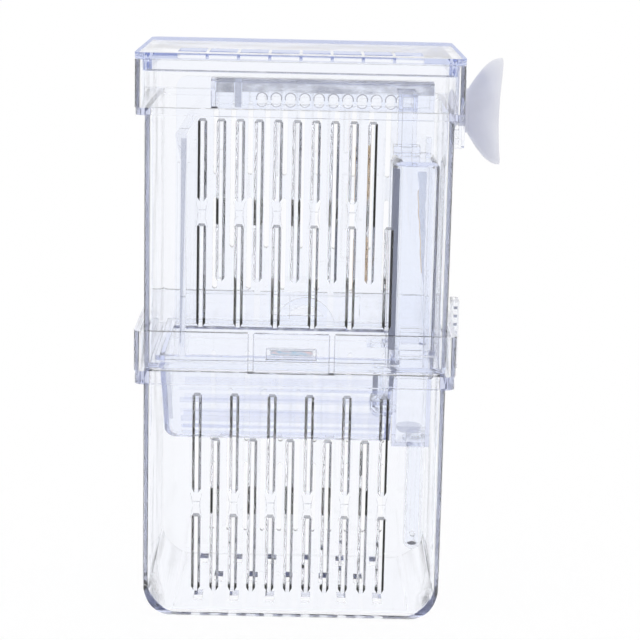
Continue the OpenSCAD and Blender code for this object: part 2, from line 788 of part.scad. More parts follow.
module lift_column() {
    hook_x = tube_right - tube_wall - hook_t;
    hook_top = tube_top + hook_h;
    riser_hole = riser_w + 2 * seat_gap;
    color(insert_tint, 0.6) difference() {
        union() {
            translate([tube_x, 0, 0])
                column_solid(tube_w, tube_d, tube_r, tube_top_r, tube_bottom, tube_top);
            block([hopper_right + flange_reach + seat_gap, -tube_d / 2 - flange_reach, floor_z + seat_gap],
                  [tube_right, tube_d / 2 + flange_reach, floor_z + seat_gap + tube_flange]);
            block([nozzle_x - hose_r - duct_wall, -hose_r - duct_wall, floor_z + seat_gap],
                  [tube_left + tube_wall / 2, hose_r + duct_wall, floor_z + seat_gap + tube_flange]);
            translate([hook_x, 0, 0]) {
                block([-hook_t / 2, -hook_t, tube_top - tube_wall], [hook_t / 2, hook_t, hook_top]);
                block([-hook_t / 2, -hook_reach, hook_top - hook_t], [hook_t / 2, 0, hook_top]);
            }
        }
        translate([tube_x, 0, 0])
            slab(tube_w - 2 * tube_wall, tube_d - 2 * tube_wall, tube_r - tube_wall,
                 tube_bottom - cut, tube_top - tube_wall);
        translate([riser_x - riser_hole / 2, riser_y - riser_hole / 2, tube_top - tube_wall - cut])
            cube([riser_hole, riser_hole, tube_wall + 2 * cut]);
        translate([nozzle_x, 0, floor_z]) cylinder(h = tube_flange + 2 * cut, r = hose_r);
    }
}

// Air arm of the foot, drawn in by a margin, from its round end to an x
module air_arm(margin, end_x) {
    half = arm_w / 2 - margin;
    translate([arm_left + margin, half, arm_low + margin]) rotate([90, 0, 0]) linear_extrude(2 * half)
        scoop(end_x - arm_left - margin, arm_h - 2 * margin, arm_r - margin);
}

module column_foot() {
    half = foot_d / 2;
    color(insert_tint, 0.7) difference() {
        union() {
            block([socket_left, -half, foot_bottom], [foot_right, half, foot_top]);
            air_arm(0, socket_left + duct_wall / 2);
        }
        block([socket_left + duct_wall, -half + duct_wall, foot_bottom + duct_wall],
              [foot_right - duct_wall, half - duct_wall, foot_top + cut]);
        air_arm(duct_wall, socket_left + 2 * duct_wall);
        translate([pipe_x, 0, foot_bottom - cut])
            cylinder(h = duct_wall + 2 * cut + seat_gap, r = pipe_r + seat_gap / 3);
        translate([nozzle_x, 0, arm_high - duct_wall - cut])
            cylinder(h = duct_wall + 2 * cut, r = nozzle_r + seat_gap / 3);
    }
}

// Half section of a round-ended rod that stands on the origin
module rod_half(r, h) {
    intersection() {
        square([r, h]);
        union() {
            translate([0, r]) circle(r);
            translate([0, r]) square([r, h]);
        }
    }
}

module intake_pipe() {
    tip_z = foot_bottom - pipe_l;
    rod_h = pipe_l + duct_wall + cut;
    color(insert_tint, 0.7) translate([pipe_x, 0, tip_z]) difference() {
        rotate_extrude() difference() {
            union() {
                rod_half(pipe_r, rod_h);
                translate([0, pipe_l - seat_gap - duct_wall]) square([pipe_r + duct_wall, duct_wall]);
            }
            translate([0, pipe_wall]) rod_half(pipe_r - pipe_wall, rod_h);
        }
        translate([0, pipe_r + cut, 2 * pipe_r]) rotate([90, 0, 0])
            cylinder(h = 2 * (pipe_r + cut), r = inlet_r);
    }
}

module air_nozzle() {
    base_z = arm_high + seat_gap;
    low_z = arm_high - duct_wall;
    top_z = base_z + nozzle_h;
    color(insert_tint, 0.8) translate([nozzle_x, 0, 0]) rotate_extrude()
        polygon([[nozzle_bore_r, low_z], [nozzle_r, low_z],
                 [nozzle_r, base_z], [nozzle_bead_r, base_z], [nozzle_bead_r, base_z + duct_wall],
                 [nozzle_r, base_z + duct_wall], [nozzle_r, top_z - 2 * duct_wall],
                 [nozzle_bead_r, top_z - duct_wall], [nozzle_r, top_z], [nozzle_bore_r, top_z]]);
}

// Keyhole plate outside the upper rim, with two pairs of ribs that reach the box's wall
module cup_bracket() {
    low = stem_z - bracket_stem_z;
    hole_r = stem_r + stem_gap;
    mouth = 2 * stem_r - snap;
    rib_y = mouth / 2 + rib_gap;
    rib_end = bracket_w / 2 - rib_gap;
    rib_in = half_w + seat_gap / 2;
    ribs = [[0, rib_low_h], [rib_low_h + rib_gap, rib_low_h + rib_gap + rib_high_h]];
    color(latch_tint, 0.6) difference() {
        union() {
            translate([bracket_face, 0, low + bracket_h / 2]) rotate([0, 90, 0])
                linear_extrude(bracket_t) rounded_rect(bracket_h, bracket_w, bracket_r);
            for (side = [0, 1], z = ribs)
                mirror([0, side, 0])
                    block([rib_in, rib_y, low + z[0]], [bracket_face + bracket_t / 2, rib_end, low + z[1]]);
        }
        translate([bracket_face - cut, 0, stem_z]) rotate([0, 90, 0])
            cylinder(h = bracket_t + 2 * cut, r = hole_r);
        block([bracket_face - cut, -mouth / 2, low - cut], [bracket_out + cut, mouth / 2, stem_z]);
    }
}

// Point on a quarter ellipse that starts on the axis side and ends at the plane of the cup's rim
function bell_point(start_r, reach_r, length, t) =
    [start_r + reach_r * sin(t), cup_l - length * cos(t)];

module suction_cup() {
    turn = 90 / steps;
    flare = cup_r - cup_neck_r;
    bell = [for (i = [0 : steps]) bell_point(cup_neck_r, flare, cup_l - cup_neck_l, turn * i)];
    hollow = [for (i = [steps : -1 : 0]) bell_point(0, cup_r - cup_ring, cup_hollow, turn * i)];
    color(cup_tint) translate([cup_start, 0, stem_z]) rotate([0, 90, 0]) {
        rotate_extrude() polygon(concat([[0, 0], [cup_neck_r, 0]], bell, hollow));
        translate([0, 0, -bracket_t - 3 * seat_gap]) cylinder(h = bracket_t + 4 * seat_gap, r = stem_r);
        translate([0, 0, head_back - cup_start])
            cylinder(h = bracket_face - seat_gap - head_back, r = head_r);
    }
}

module lid() {
    plug_w = rim_inner_w - 2 * plug_gap;
    plug_d = rim_inner_d - 2 * plug_gap;
    plug_r = rim_r - wall - plug_gap;
    plug_z = lid_z - plug_h;
    windows_y = -plug_d / 2 + plug_wall + lid_window_in;
    color(clear_tint, 0.6) difference() {
        union() {
            slab(rim_w, rim_d, rim_r, lid_z, lid_z + lid_t);
            difference() {
                slab(plug_w, plug_d, plug_r, plug_z, lid_z + lid_t / 2);
                slab(plug_w - 2 * plug_wall, plug_d - 2 * plug_wall, plug_r, plug_z - cut, lid_z);
            }
        }
        for (i = [0 : lid_windows - 1])
            translate([(i - (lid_windows - 1) / 2) * lid_pitch, windows_y, lid_z])
                block([-(lid_pitch - lid_rib) / 2, 0, -cut],
                      [(lid_pitch - lid_rib) / 2, lid_window_l, lid_t + cut]);
    }
}

lower_box();
side_rack();
front_latch();
back_latch();
upper_box();
hopper();
overflow_plate();
spray_channel();
riser_duct();
lift_column();
column_foot();
intake_pipe();
air_nozzle();
cup_bracket();
divider();
lid();
suction_cup();
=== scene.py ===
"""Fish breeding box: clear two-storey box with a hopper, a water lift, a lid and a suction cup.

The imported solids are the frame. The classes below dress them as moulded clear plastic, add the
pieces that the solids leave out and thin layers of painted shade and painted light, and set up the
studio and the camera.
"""
import json
import logging
import math
from dataclasses import dataclass
from enum import Enum

import bmesh
import bpy
from mathutils import Matrix, Vector

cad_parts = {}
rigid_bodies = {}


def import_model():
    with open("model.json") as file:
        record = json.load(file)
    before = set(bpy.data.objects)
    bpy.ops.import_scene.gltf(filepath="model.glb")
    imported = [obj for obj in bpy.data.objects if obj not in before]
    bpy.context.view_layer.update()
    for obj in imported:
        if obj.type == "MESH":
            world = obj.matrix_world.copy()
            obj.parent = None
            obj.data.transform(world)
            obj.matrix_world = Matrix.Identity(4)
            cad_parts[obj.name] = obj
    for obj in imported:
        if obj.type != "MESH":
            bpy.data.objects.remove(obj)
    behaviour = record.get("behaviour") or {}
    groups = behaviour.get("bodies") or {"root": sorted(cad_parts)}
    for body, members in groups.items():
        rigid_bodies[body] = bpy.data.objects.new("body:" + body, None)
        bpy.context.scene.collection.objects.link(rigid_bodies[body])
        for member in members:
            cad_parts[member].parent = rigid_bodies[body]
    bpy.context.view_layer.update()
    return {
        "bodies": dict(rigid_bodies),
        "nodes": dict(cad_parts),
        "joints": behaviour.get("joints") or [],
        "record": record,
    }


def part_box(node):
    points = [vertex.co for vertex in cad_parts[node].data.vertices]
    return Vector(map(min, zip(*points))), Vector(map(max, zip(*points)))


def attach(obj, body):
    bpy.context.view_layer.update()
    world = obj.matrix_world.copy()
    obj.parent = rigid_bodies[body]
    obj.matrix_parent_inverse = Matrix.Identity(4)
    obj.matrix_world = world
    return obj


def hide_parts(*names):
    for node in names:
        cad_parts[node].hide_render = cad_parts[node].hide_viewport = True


LOG = logging.getLogger("breeding_box")
# Radius in metres under which a point counts as lying on a lathe's axis
ON_AXIS = 1e-7
MM = 0.001
# Half the width and half the height of a field of wall slots, and the heights of the two middles
SLOT_FIELD_HALF = 0.0365
SLOT_FIELD_HIGH = 0.0345
SLOT_FIELD_LEVELS = (0.0437, 0.1345)
# Height of the lid's top face, and the depth under it that counts as the face
LID_TOP = 0.1901
TOP_DEPTH = 0.0005
# Where the lid's painted blue shade starts at its sides and its back, and how far it fades in at the back
LID_SIDE = 0.0515
LID_BACK = 0.017
LID_BACK_FADE = 0.006
# Where a layer of painted shade or painted light starts and ends above the surface that carries it, in
# millimetres
PAINT_NEAR = 0.03
PAINT_FAR = 0.13
# Inner face of the front wall along Y, in millimetres
WALL_FACE = -33.0
Colour = tuple[float, float, float]
Pair = tuple[float, float]
Path = list[Pair]
Tree = bpy.types.NodeTree
Socket = bpy.types.NodeSocket
Mesh = bmesh.types.BMesh


class Plastic(Enum):
    """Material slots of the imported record, one for each kind of plastic."""

    BODY = "clear_body"
    INSERT = "clear_insert"
    LATCH = "clear_latch"
    LID = "clear_lid"
    VINYL = "cup_vinyl"
    THIN = "clear_insert_thin"

    def slot(self) -> str:
        """Return the record's slot that the plastic belongs to."""
        return "clear_insert" if self is Plastic.THIN else self.value


class PaintedLight(Enum):
    """Thin layers of painted shade and painted light that stand for how thick, curved or stressed plastic
    hides or colours what is behind it.
    """

    BROW = "brow_haze"
    PLUG = "plug_haze"
    COLUMN = "column_haze"
    CORNER = "corner_haze"
    LID = "lid_haze"
    RIB = "rib_haze"
    LINE = "line_haze"
    FOOT = "foot_haze"
    MARK = "mark_haze"
    CAP = "cap_haze"
    DISH = "dish_haze"
    STREAK = "streak_haze"
    AMBER = "amber_haze"
    RAINBOW = "rainbow_haze"


class Axis(Enum):
    """Directions in which a strip is drawn out, after the two that its paths lie in."""

    X = (1, 2, 0)
    Y = (0, 2, 1)
    Z = (0, 1, 2)


class Body(Enum):
    """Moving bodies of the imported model."""

    LOWER = "lower"
    FRONT_LATCH = "front_latch"
    BACK_LATCH = "back_latch"
    UPPER = "upper"
    DIVIDER = "divider"
    LID = "lid"
    CUP = "suction_cup"


def new_group(name: str, inputs: dict[str, float], outputs: dict[str, str]) -> Tree:
    """Make an empty shader node group with its sockets.

    Args:
        name: Name of the group.
        inputs: Float inputs and their default values.
        outputs: Outputs and their socket types.

    Returns:
        The group, with an input node named "in" and an output node named "out".
    """
    tree = bpy.data.node_groups.new(name, "ShaderNodeTree")
    for label, value in inputs.items():
        socket = tree.interface.new_socket(label, in_out="INPUT", socket_type="NodeSocketFloat")
        socket.default_value = value
    for label, kind in outputs.items():
        tree.interface.new_socket(label, in_out="OUTPUT", socket_type=kind)
    tree.nodes.new("NodeGroupInput").name = "in"
    tree.nodes.new("NodeGroupOutput").name = "out"
    return tree


def fill(tree: Tree, node: bpy.types.Node, inputs: dict) -> None:
    """Set a node's inputs.

    Args:
        tree: Node tree that holds the node.
        node: The node.
        inputs: Socket to link or value to set, by the input's label or number.
    """
    for label, value in inputs.items():
        if isinstance(value, Socket):
            tree.links.new(value, node.inputs[label])
        else:
            node.inputs[label].default_value = value


def add_node(tree: Tree, kind: str, inputs: dict, group: Tree | None = None) -> bpy.types.Node:
    """Add a shader node and set its inputs.

    Args:
        tree: Node tree to add to.
        kind: Kind of node, without the ShaderNode that its type starts with.
        inputs: What fill takes.
        group: Group that a Group node runs.

    Returns:
        The new node.
    """
    node = tree.nodes.new(f"ShaderNode{kind}")
    if group:
        node.node_tree = group
    fill(tree, node, inputs)
    return node


def mix_colours(tree: Tree, first: Colour, second: Colour, share: Socket) -> Socket:
    """Blend two colours.

    Args:
        tree: Node tree to add to.
        first: Colour at share 0.
        second: Colour at share 1.
        share: Share of the second colour.

    Returns:
        Socket of the blended colour.
    """
    blend = tree.nodes.new("ShaderNodeMix")
    blend.data_type = "RGBA"
    fill(tree, blend, {"A": (*first, 1.0), "B": (*second, 1.0), "Factor": share})
    return blend.outputs["Result"]


def mix_shaders(tree: Tree, first: Socket, second: Socket, share: Socket) -> Socket:
    """Blend two shaders.

    Args:
        tree: Node tree to add to.
        first: Shader at share 0.
        second: Shader at share 1.
        share: Share of the second shader.

    Returns:
        Socket of the blended shader.
    """
    return add_node(tree, "MixShader", {"Fac": share, 1: first, 2: second}).outputs[0]


def new_material(name: str) -> tuple[bpy.types.Material, Tree, bpy.types.Node]:
    """Make a material and return it with its node tree and its Principled shader."""
    material = bpy.data.materials.new(name)
    material.use_nodes = True
    return material, material.node_tree, material.node_tree.nodes["Principled BSDF"]


def math_node(tree: Tree, operation: str, first, second) -> Socket:
    """Add a Math node whose two operands are sockets or numbers.

    Args:
        tree: Node tree to add to.
        operation: Name of the Math operation.
        first: First operand.
        second: Second operand.

    Returns:
        The node's result socket.
    """
    node = tree.nodes.new("ShaderNodeMath")
    node.operation = operation
    for slot, operand in enumerate((first, second)):
        if isinstance(operand, Socket):
            tree.links.new(operand, node.inputs[slot])
        else:
            node.inputs[slot].default_value = operand
    return node.outputs[0]


def background_ray(tree: Tree) -> Socket:
    """Add up the rays that show the background: seen directly, in a gloss or through plastic."""
    path = tree.nodes.new("ShaderNodeLightPath")
    seen = math_node(tree, "ADD", path.outputs["Is Camera Ray"], path.outputs["Is Glossy Ray"])
    seen = math_node(tree, "ADD", seen, path.outputs["Is Transmission Ray"])
    return math_node(tree, "MINIMUM", seen, 1.0)


class SurfaceEffects:
    """Node groups that several finishes share."""

    def __init__(self) -> None:
        """Build the groups once."""
        self.flow = self._mould_flow()
        self.handling = self._handling()
        self.painted_patches = self._painted_patches()

    @staticmethod
    def _product(tree: Tree, first: Socket, second: Socket) -> Socket:
        """Multiply two vectors, part by part."""
        node = tree.nodes.new("ShaderNodeVectorMath")
        node.operation = "MULTIPLY"
        fill(tree, node, {0: first, 1: second})
        return node.outputs[0]

    def _mould_flow(self) -> Tree:
        """Build slow swells and drawn streaks, as plastic shows where it filled a mould.

        Returns:
            Group with Scale, Stretch and Streaks inputs and a Height output.
        """
        tree = new_group("mould_flow", {"Scale": 40.0, "Stretch": 0.3, "Streaks": 0.3},
                         {"Height": "NodeSocketFloat"})
        source, sink = tree.nodes["in"], tree.nodes["out"]
        place = add_node(tree, "TexCoord", {})
        scale = add_node(tree, "CombineXYZ", {0: 1.0, 1: 1.0, 2: source.outputs["Stretch"]})
        drawn = self._product(tree, place.outputs["Object"], scale.outputs[0])
        swell = add_node(tree, "TexNoise", {"Detail": 1.5, "Roughness": 0.4, "Vector": drawn,
                                            "Scale": source.outputs["Scale"]})
        fine_scale = math_node(tree, "MULTIPLY", source.outputs["Scale"], 3.7)
        streak = add_node(tree, "TexNoise", {"Detail": 2.0, "Vector": drawn, "Scale": fine_scale})
        fine = math_node(tree, "MULTIPLY", streak.outputs[0], source.outputs["Streaks"])
        fill(tree, sink, {"Height": math_node(tree, "ADD", swell.outputs[0], fine)})
        return tree

    def _painted_patches(self) -> Tree:
        """Build uneven cover for painted shade and painted light, patchy as light is lost in curved or
        rippled plastic.

        Returns:
            Group with Cover, Ripple, Scale and Across X, Y and Z inputs, and Mask and Tone outputs.
        """
        tree = new_group("painted_patches", {"Cover": 0.6, "Ripple": 0.3, "Scale": 120.0, "Across X": 1.0,
                                   "Across Y": 1.0, "Across Z": 1.0},
                         {"Mask": "NodeSocketFloat", "Tone": "NodeSocketFloat"})
        source, sink = tree.nodes["in"], tree.nodes["out"]
        place = add_node(tree, "TexCoord", {})
        across = add_node(tree, "CombineXYZ", {slot: source.outputs[label] for slot, label in
                                               enumerate(("Across X", "Across Y", "Across Z"))})
        drawn = self._product(tree, place.outputs["Object"], across.outputs[0])
        patches = add_node(tree, "TexNoise", {"Detail": 3.0, "Vector": drawn,
                                              "Scale": source.outputs["Scale"]})
        tone = add_node(tree, "MapRange", {"From Min": 0.3, "From Max": 0.7,
                                           "Value": patches.outputs[0]})
        centred = math_node(tree, "SUBTRACT", tone.outputs[0], 0.5)
        swing = math_node(tree, "MULTIPLY", centred, source.outputs["Ripple"])
        cover = math_node(tree, "ADD", swing, source.outputs["Cover"])
        floor = math_node(tree, "MAXIMUM", cover, 0.0)
        fill(tree, sink, {"Mask": math_node(tree, "MINIMUM", floor, 1.0), "Tone": tone.outputs[0]})
        return tree

    def _handling(self) -> Tree:
        """Build faint smears and fine scuffs, as handling leaves on polished plastic.

        Returns:
            Group with Base, Smear and Scuff inputs and a Roughness output.
        """
        tree = new_group("handling_marks", {"Base": 0.02, "Smear": 0.03, "Scuff": 0.06},
                         {"Roughness": "NodeSocketFloat"})
        source, sink = tree.nodes["in"], tree.nodes["out"]
        place = add_node(tree, "TexCoord", {})
        smear = add_node(tree, "TexNoise", {"Scale": 34.0, "Detail": 3.0,
                                            "Vector": place.outputs["Object"]})
        soft = add_node(tree, "MapRange", {"From Min": 0.52, "From Max": 0.75,
                                           "Value": smear.outputs[0]})
        scuff = add_node(tree, "TexVoronoi", {"Scale": 150.0, "Vector": place.outputs["Object"]})
        scuff.feature = "DISTANCE_TO_EDGE"
        line = add_node(tree, "MapRange", {"From Min": 0.012, "From Max": 0.0,
                                           "Value": scuff.outputs["Distance"]})
        marks = math_node(tree, "MULTIPLY", line.outputs[0], soft.outputs[0])
        scuffs = math_node(tree, "MULTIPLY", marks, source.outputs["Scuff"])
        smears = math_node(tree, "MULTIPLY", soft.outputs[0], source.outputs["Smear"])
        total = math_node(tree, "ADD", math_node(tree, "ADD", scuffs, smears), source.outputs["Base"])
        fill(tree, sink, {"Roughness": total})
        return tree


@dataclass(frozen=True)
class ClearPlastic:
    """Polished clear polystyrene.

    Attributes:
        name: Name of the material.
        tint: Colour that the plastic gives to light at each surface.
        body: Colour that a thick piece of the plastic turns to.
        density: How soon it turns to that colour, per metre.
        ior: Index of refraction.
        flow_scale: Size of the mould-flow swells, as a noise scale.
        flow_depth: Depth of the swells in metres.
        streaks: Share of fine streaks in the swells.
        trap: Share of the light that is lost where the plastic leads it round inside.
        slot_trap: The same share in the two fields of wall slots, where many flanks lie close.
        painted_rim_blue: Share of painted blue shade along the back and the sides of the top face.
        shadow: Colour of the light that the plastic lets through to what stands behind it.
    """

    name: str
    tint: Colour = (0.979, 0.985, 0.9999)
    body: Colour = (0.43, 0.50, 0.82)
    density: float = 8.0
    ior: float = 1.49
    flow_scale: float = 40.0
    flow_depth: float = 0.00006
    streaks: float = 0.25
    trap: float = 0.035
    slot_trap: float = 0.035
    painted_rim_blue: float = 0.0
    shadow: Colour = (0.992, 0.992, 0.996)

    def build(self, effects: SurfaceEffects) -> bpy.types.Material:
        """Make the material.

        Args:
            effects: The shared node groups.

        Returns:
            The finished material.
        """
        material, tree, shader = new_material(self.name)
        marks = add_node(tree, "Group", {"Base": 0.0, "Smear": 0.02, "Scuff": 0.05}, effects.handling)
        flow = add_node(tree, "Group", {"Scale": self.flow_scale, "Streaks": self.streaks}, effects.flow)
        bump = add_node(tree, "Bump", {"Distance": self.flow_depth, "Height": flow.outputs["Height"]})
        fill(tree, shader, {"Base Color": (*self.tint, 1.0), "IOR": self.ior,
                            "Transmission Weight": 1.0, "Specular IOR Level": 0.3,
                            "Roughness": marks.outputs["Roughness"],
                            "Normal": bump.outputs["Normal"]})
        surface = self._lose_guided_light(tree, shader.outputs[0])
        if self.painted_rim_blue:
            surface = self._painted_edge_blue(tree, surface)
        clear = add_node(tree, "BsdfTransparent", {"Color": (*self.shadow, 1.0)})
        path = add_node(tree, "LightPath", {})
        passes = math_node(tree, "MAXIMUM", path.outputs["Is Shadow Ray"],
                           path.outputs["Is Diffuse Ray"])
        mix = mix_shaders(tree, surface, clear.outputs[0], passes)
        thick = add_node(tree, "VolumeAbsorption", {"Color": (*self.body, 1.0),
                                                    "Density": self.density})
        fill(tree, tree.nodes["Material Output"], {"Surface": mix, "Volume": thick.outputs[0]})
        return material

    def _lose_guided_light(self, tree: Tree, surface: Socket) -> Socket:
        """Lose part of the light that turns back inside, so that edges and flanks read dark.

        Args:
            tree: The material's node tree.
            surface: Shader of the polished surface.

        Returns:
            Shader whose inner side only lets light out for the trapped share.
        """
        outlet = add_node(tree, "BsdfRefraction", {"Color": (*self.tint, 1.0), "IOR": self.ior,
                                                   "Roughness": 0.0})
        side = add_node(tree, "NewGeometry", {})
        extra = math_node(tree, "MULTIPLY", self._slot_fields(tree), self.slot_trap - self.trap)
        trap = math_node(tree, "ADD", extra, self.trap)
        share = math_node(tree, "MULTIPLY", side.outputs["Backfacing"], trap)
        return mix_shaders(tree, surface, outlet.outputs[0], share)

    @staticmethod
    def _slot_fields(tree: Tree) -> Socket:
        """Return a socket that is 1 inside the two fields of wall slots and 0 elsewhere."""
        place = add_node(tree, "TexCoord", {})
        split = add_node(tree, "SeparateXYZ", {0: place.outputs["Object"]})
        aside = math_node(tree, "ABSOLUTE", split.outputs["X"], 0.0)
        mask = math_node(tree, "LESS_THAN", aside, SLOT_FIELD_HALF)
        bands = []
        for middle in SLOT_FIELD_LEVELS:
            off = math_node(tree, "SUBTRACT", split.outputs["Z"], middle)
            off = math_node(tree, "ABSOLUTE", off, 0.0)
            bands.append(math_node(tree, "LESS_THAN", off, SLOT_FIELD_HIGH))
        return math_node(tree, "MULTIPLY", mask, math_node(tree, "MAXIMUM", *bands))

    def _painted_edge_blue(self, tree: Tree, surface: Socket) -> Socket:
        """Paint a blue shade along the back and the sides of a lid's top face.

        Args:
            tree: The material's node tree.
            surface: Shader of the lid.

        Returns:
            Shader with the blue laid in.
        """
        place = add_node(tree, "TexCoord", {})
        split = add_node(tree, "SeparateXYZ", {0: place.outputs["Object"]})
        on_top = math_node(tree, "GREATER_THAN", split.outputs["Z"], LID_TOP - TOP_DEPTH)
        aside = math_node(tree, "ABSOLUTE", split.outputs["X"], 0.0)
        side = math_node(tree, "GREATER_THAN", aside, LID_SIDE)
        back = add_node(tree, "MapRange", {"From Min": LID_BACK, "From Max": LID_BACK + LID_BACK_FADE,
                                           "Value": split.outputs["Y"]})
        ripple = add_node(tree, "TexNoise", {"Scale": 90.0, "Vector": place.outputs["Object"]})
        share = math_node(tree, "MULTIPLY", math_node(tree, "MAXIMUM", side, back.outputs[0]), on_top)
        uneven = math_node(tree, "ADD", math_node(tree, "MULTIPLY", ripple.outputs[0], 0.6), 0.7)
        share = math_node(tree, "MULTIPLY", share, math_node(tree, "MULTIPLY", uneven, self.painted_rim_blue))
        # Painted blue shade for the top face's back and sides
        blue = add_node(tree, "BsdfPrincipled", {"Base Color": (0.40, 0.47, 0.76, 1.0),
                                                 "Roughness": 0.4, "Specular IOR Level": 0.1})
        return mix_shaders(tree, surface, blue.outputs[0], share)


@dataclass(frozen=True)
class MilkyVinyl:
    """Soft translucent vinyl of the suction cup.

    Attributes:
        name: Name of the material.
        colour: Colour of the vinyl.
        shade: Colour of its thicker places.
    """

    name: str
    colour: Colour = (0.76, 0.775, 0.84)
    shade: Colour = (0.62, 0.63, 0.705)

    def build(self, effects: SurfaceEffects) -> bpy.types.Material:
        """Make the material from the shared node groups."""
        material, tree, shader = new_material(self.name)
        flow = add_node(tree, "Group", {"Scale": 60.0, "Stretch": 1.0}, effects.flow)
        marks = add_node(tree, "Group", {"Base": 0.28, "Smear": 0.12, "Scuff": 0.1}, effects.handling)
        bump = add_node(tree, "Bump", {"Distance": 0.0001, "Height": flow.outputs["Height"]})
        fill(tree, shader, {
            "Base Color": mix_colours(tree, self.colour, self.shade, flow.outputs["Height"]),
            "Subsurface Weight": 0.5, "Subsurface Scale": 0.004,
            "Subsurface Radius": (1.0, 1.0, 1.0), "IOR": 1.45,
            "Roughness": marks.outputs["Roughness"], "Normal": bump.outputs["Normal"]})
        return material


@dataclass(frozen=True)
class PaintedLayer:
    """Thin uneven layer of painted shade or painted light on clear plastic.

    Attributes:
        name: Name of the material.
        colour: Colour of the painted shade or light.
        other: Colour that its patches turn to.
        cover: Share of what is behind that it hides.
        ripple: How much the cover changes.
        scale: Size of the patches, as a noise scale.
        across: How quickly the patches change along each axis.
    """

    name: str
    colour: Colour
    other: Colour
    cover: float = 0.6
    ripple: float = 0.3
    scale: float = 120.0
    across: tuple[float, float, float] = (1.0, 1.0, 1.0)

    def build(self, effects: SurfaceEffects) -> bpy.types.Material:
        """Make the material from the shared node groups."""
        material, tree, shader = new_material(self.name)
        values = (self.cover, self.ripple, self.scale, *self.across)
        painted_patches = add_node(tree, "Group", dict(enumerate(values)), effects.painted_patches)
        marks = add_node(tree, "Group", {"Base": 0.35}, effects.handling)
        fill(tree, shader, {
            "Base Color": mix_colours(tree, self.colour, self.other, painted_patches.outputs["Tone"]),
            "Alpha": painted_patches.outputs["Mask"], "Roughness": marks.outputs["Roughness"],
            "Specular IOR Level": 0.2})
        return material


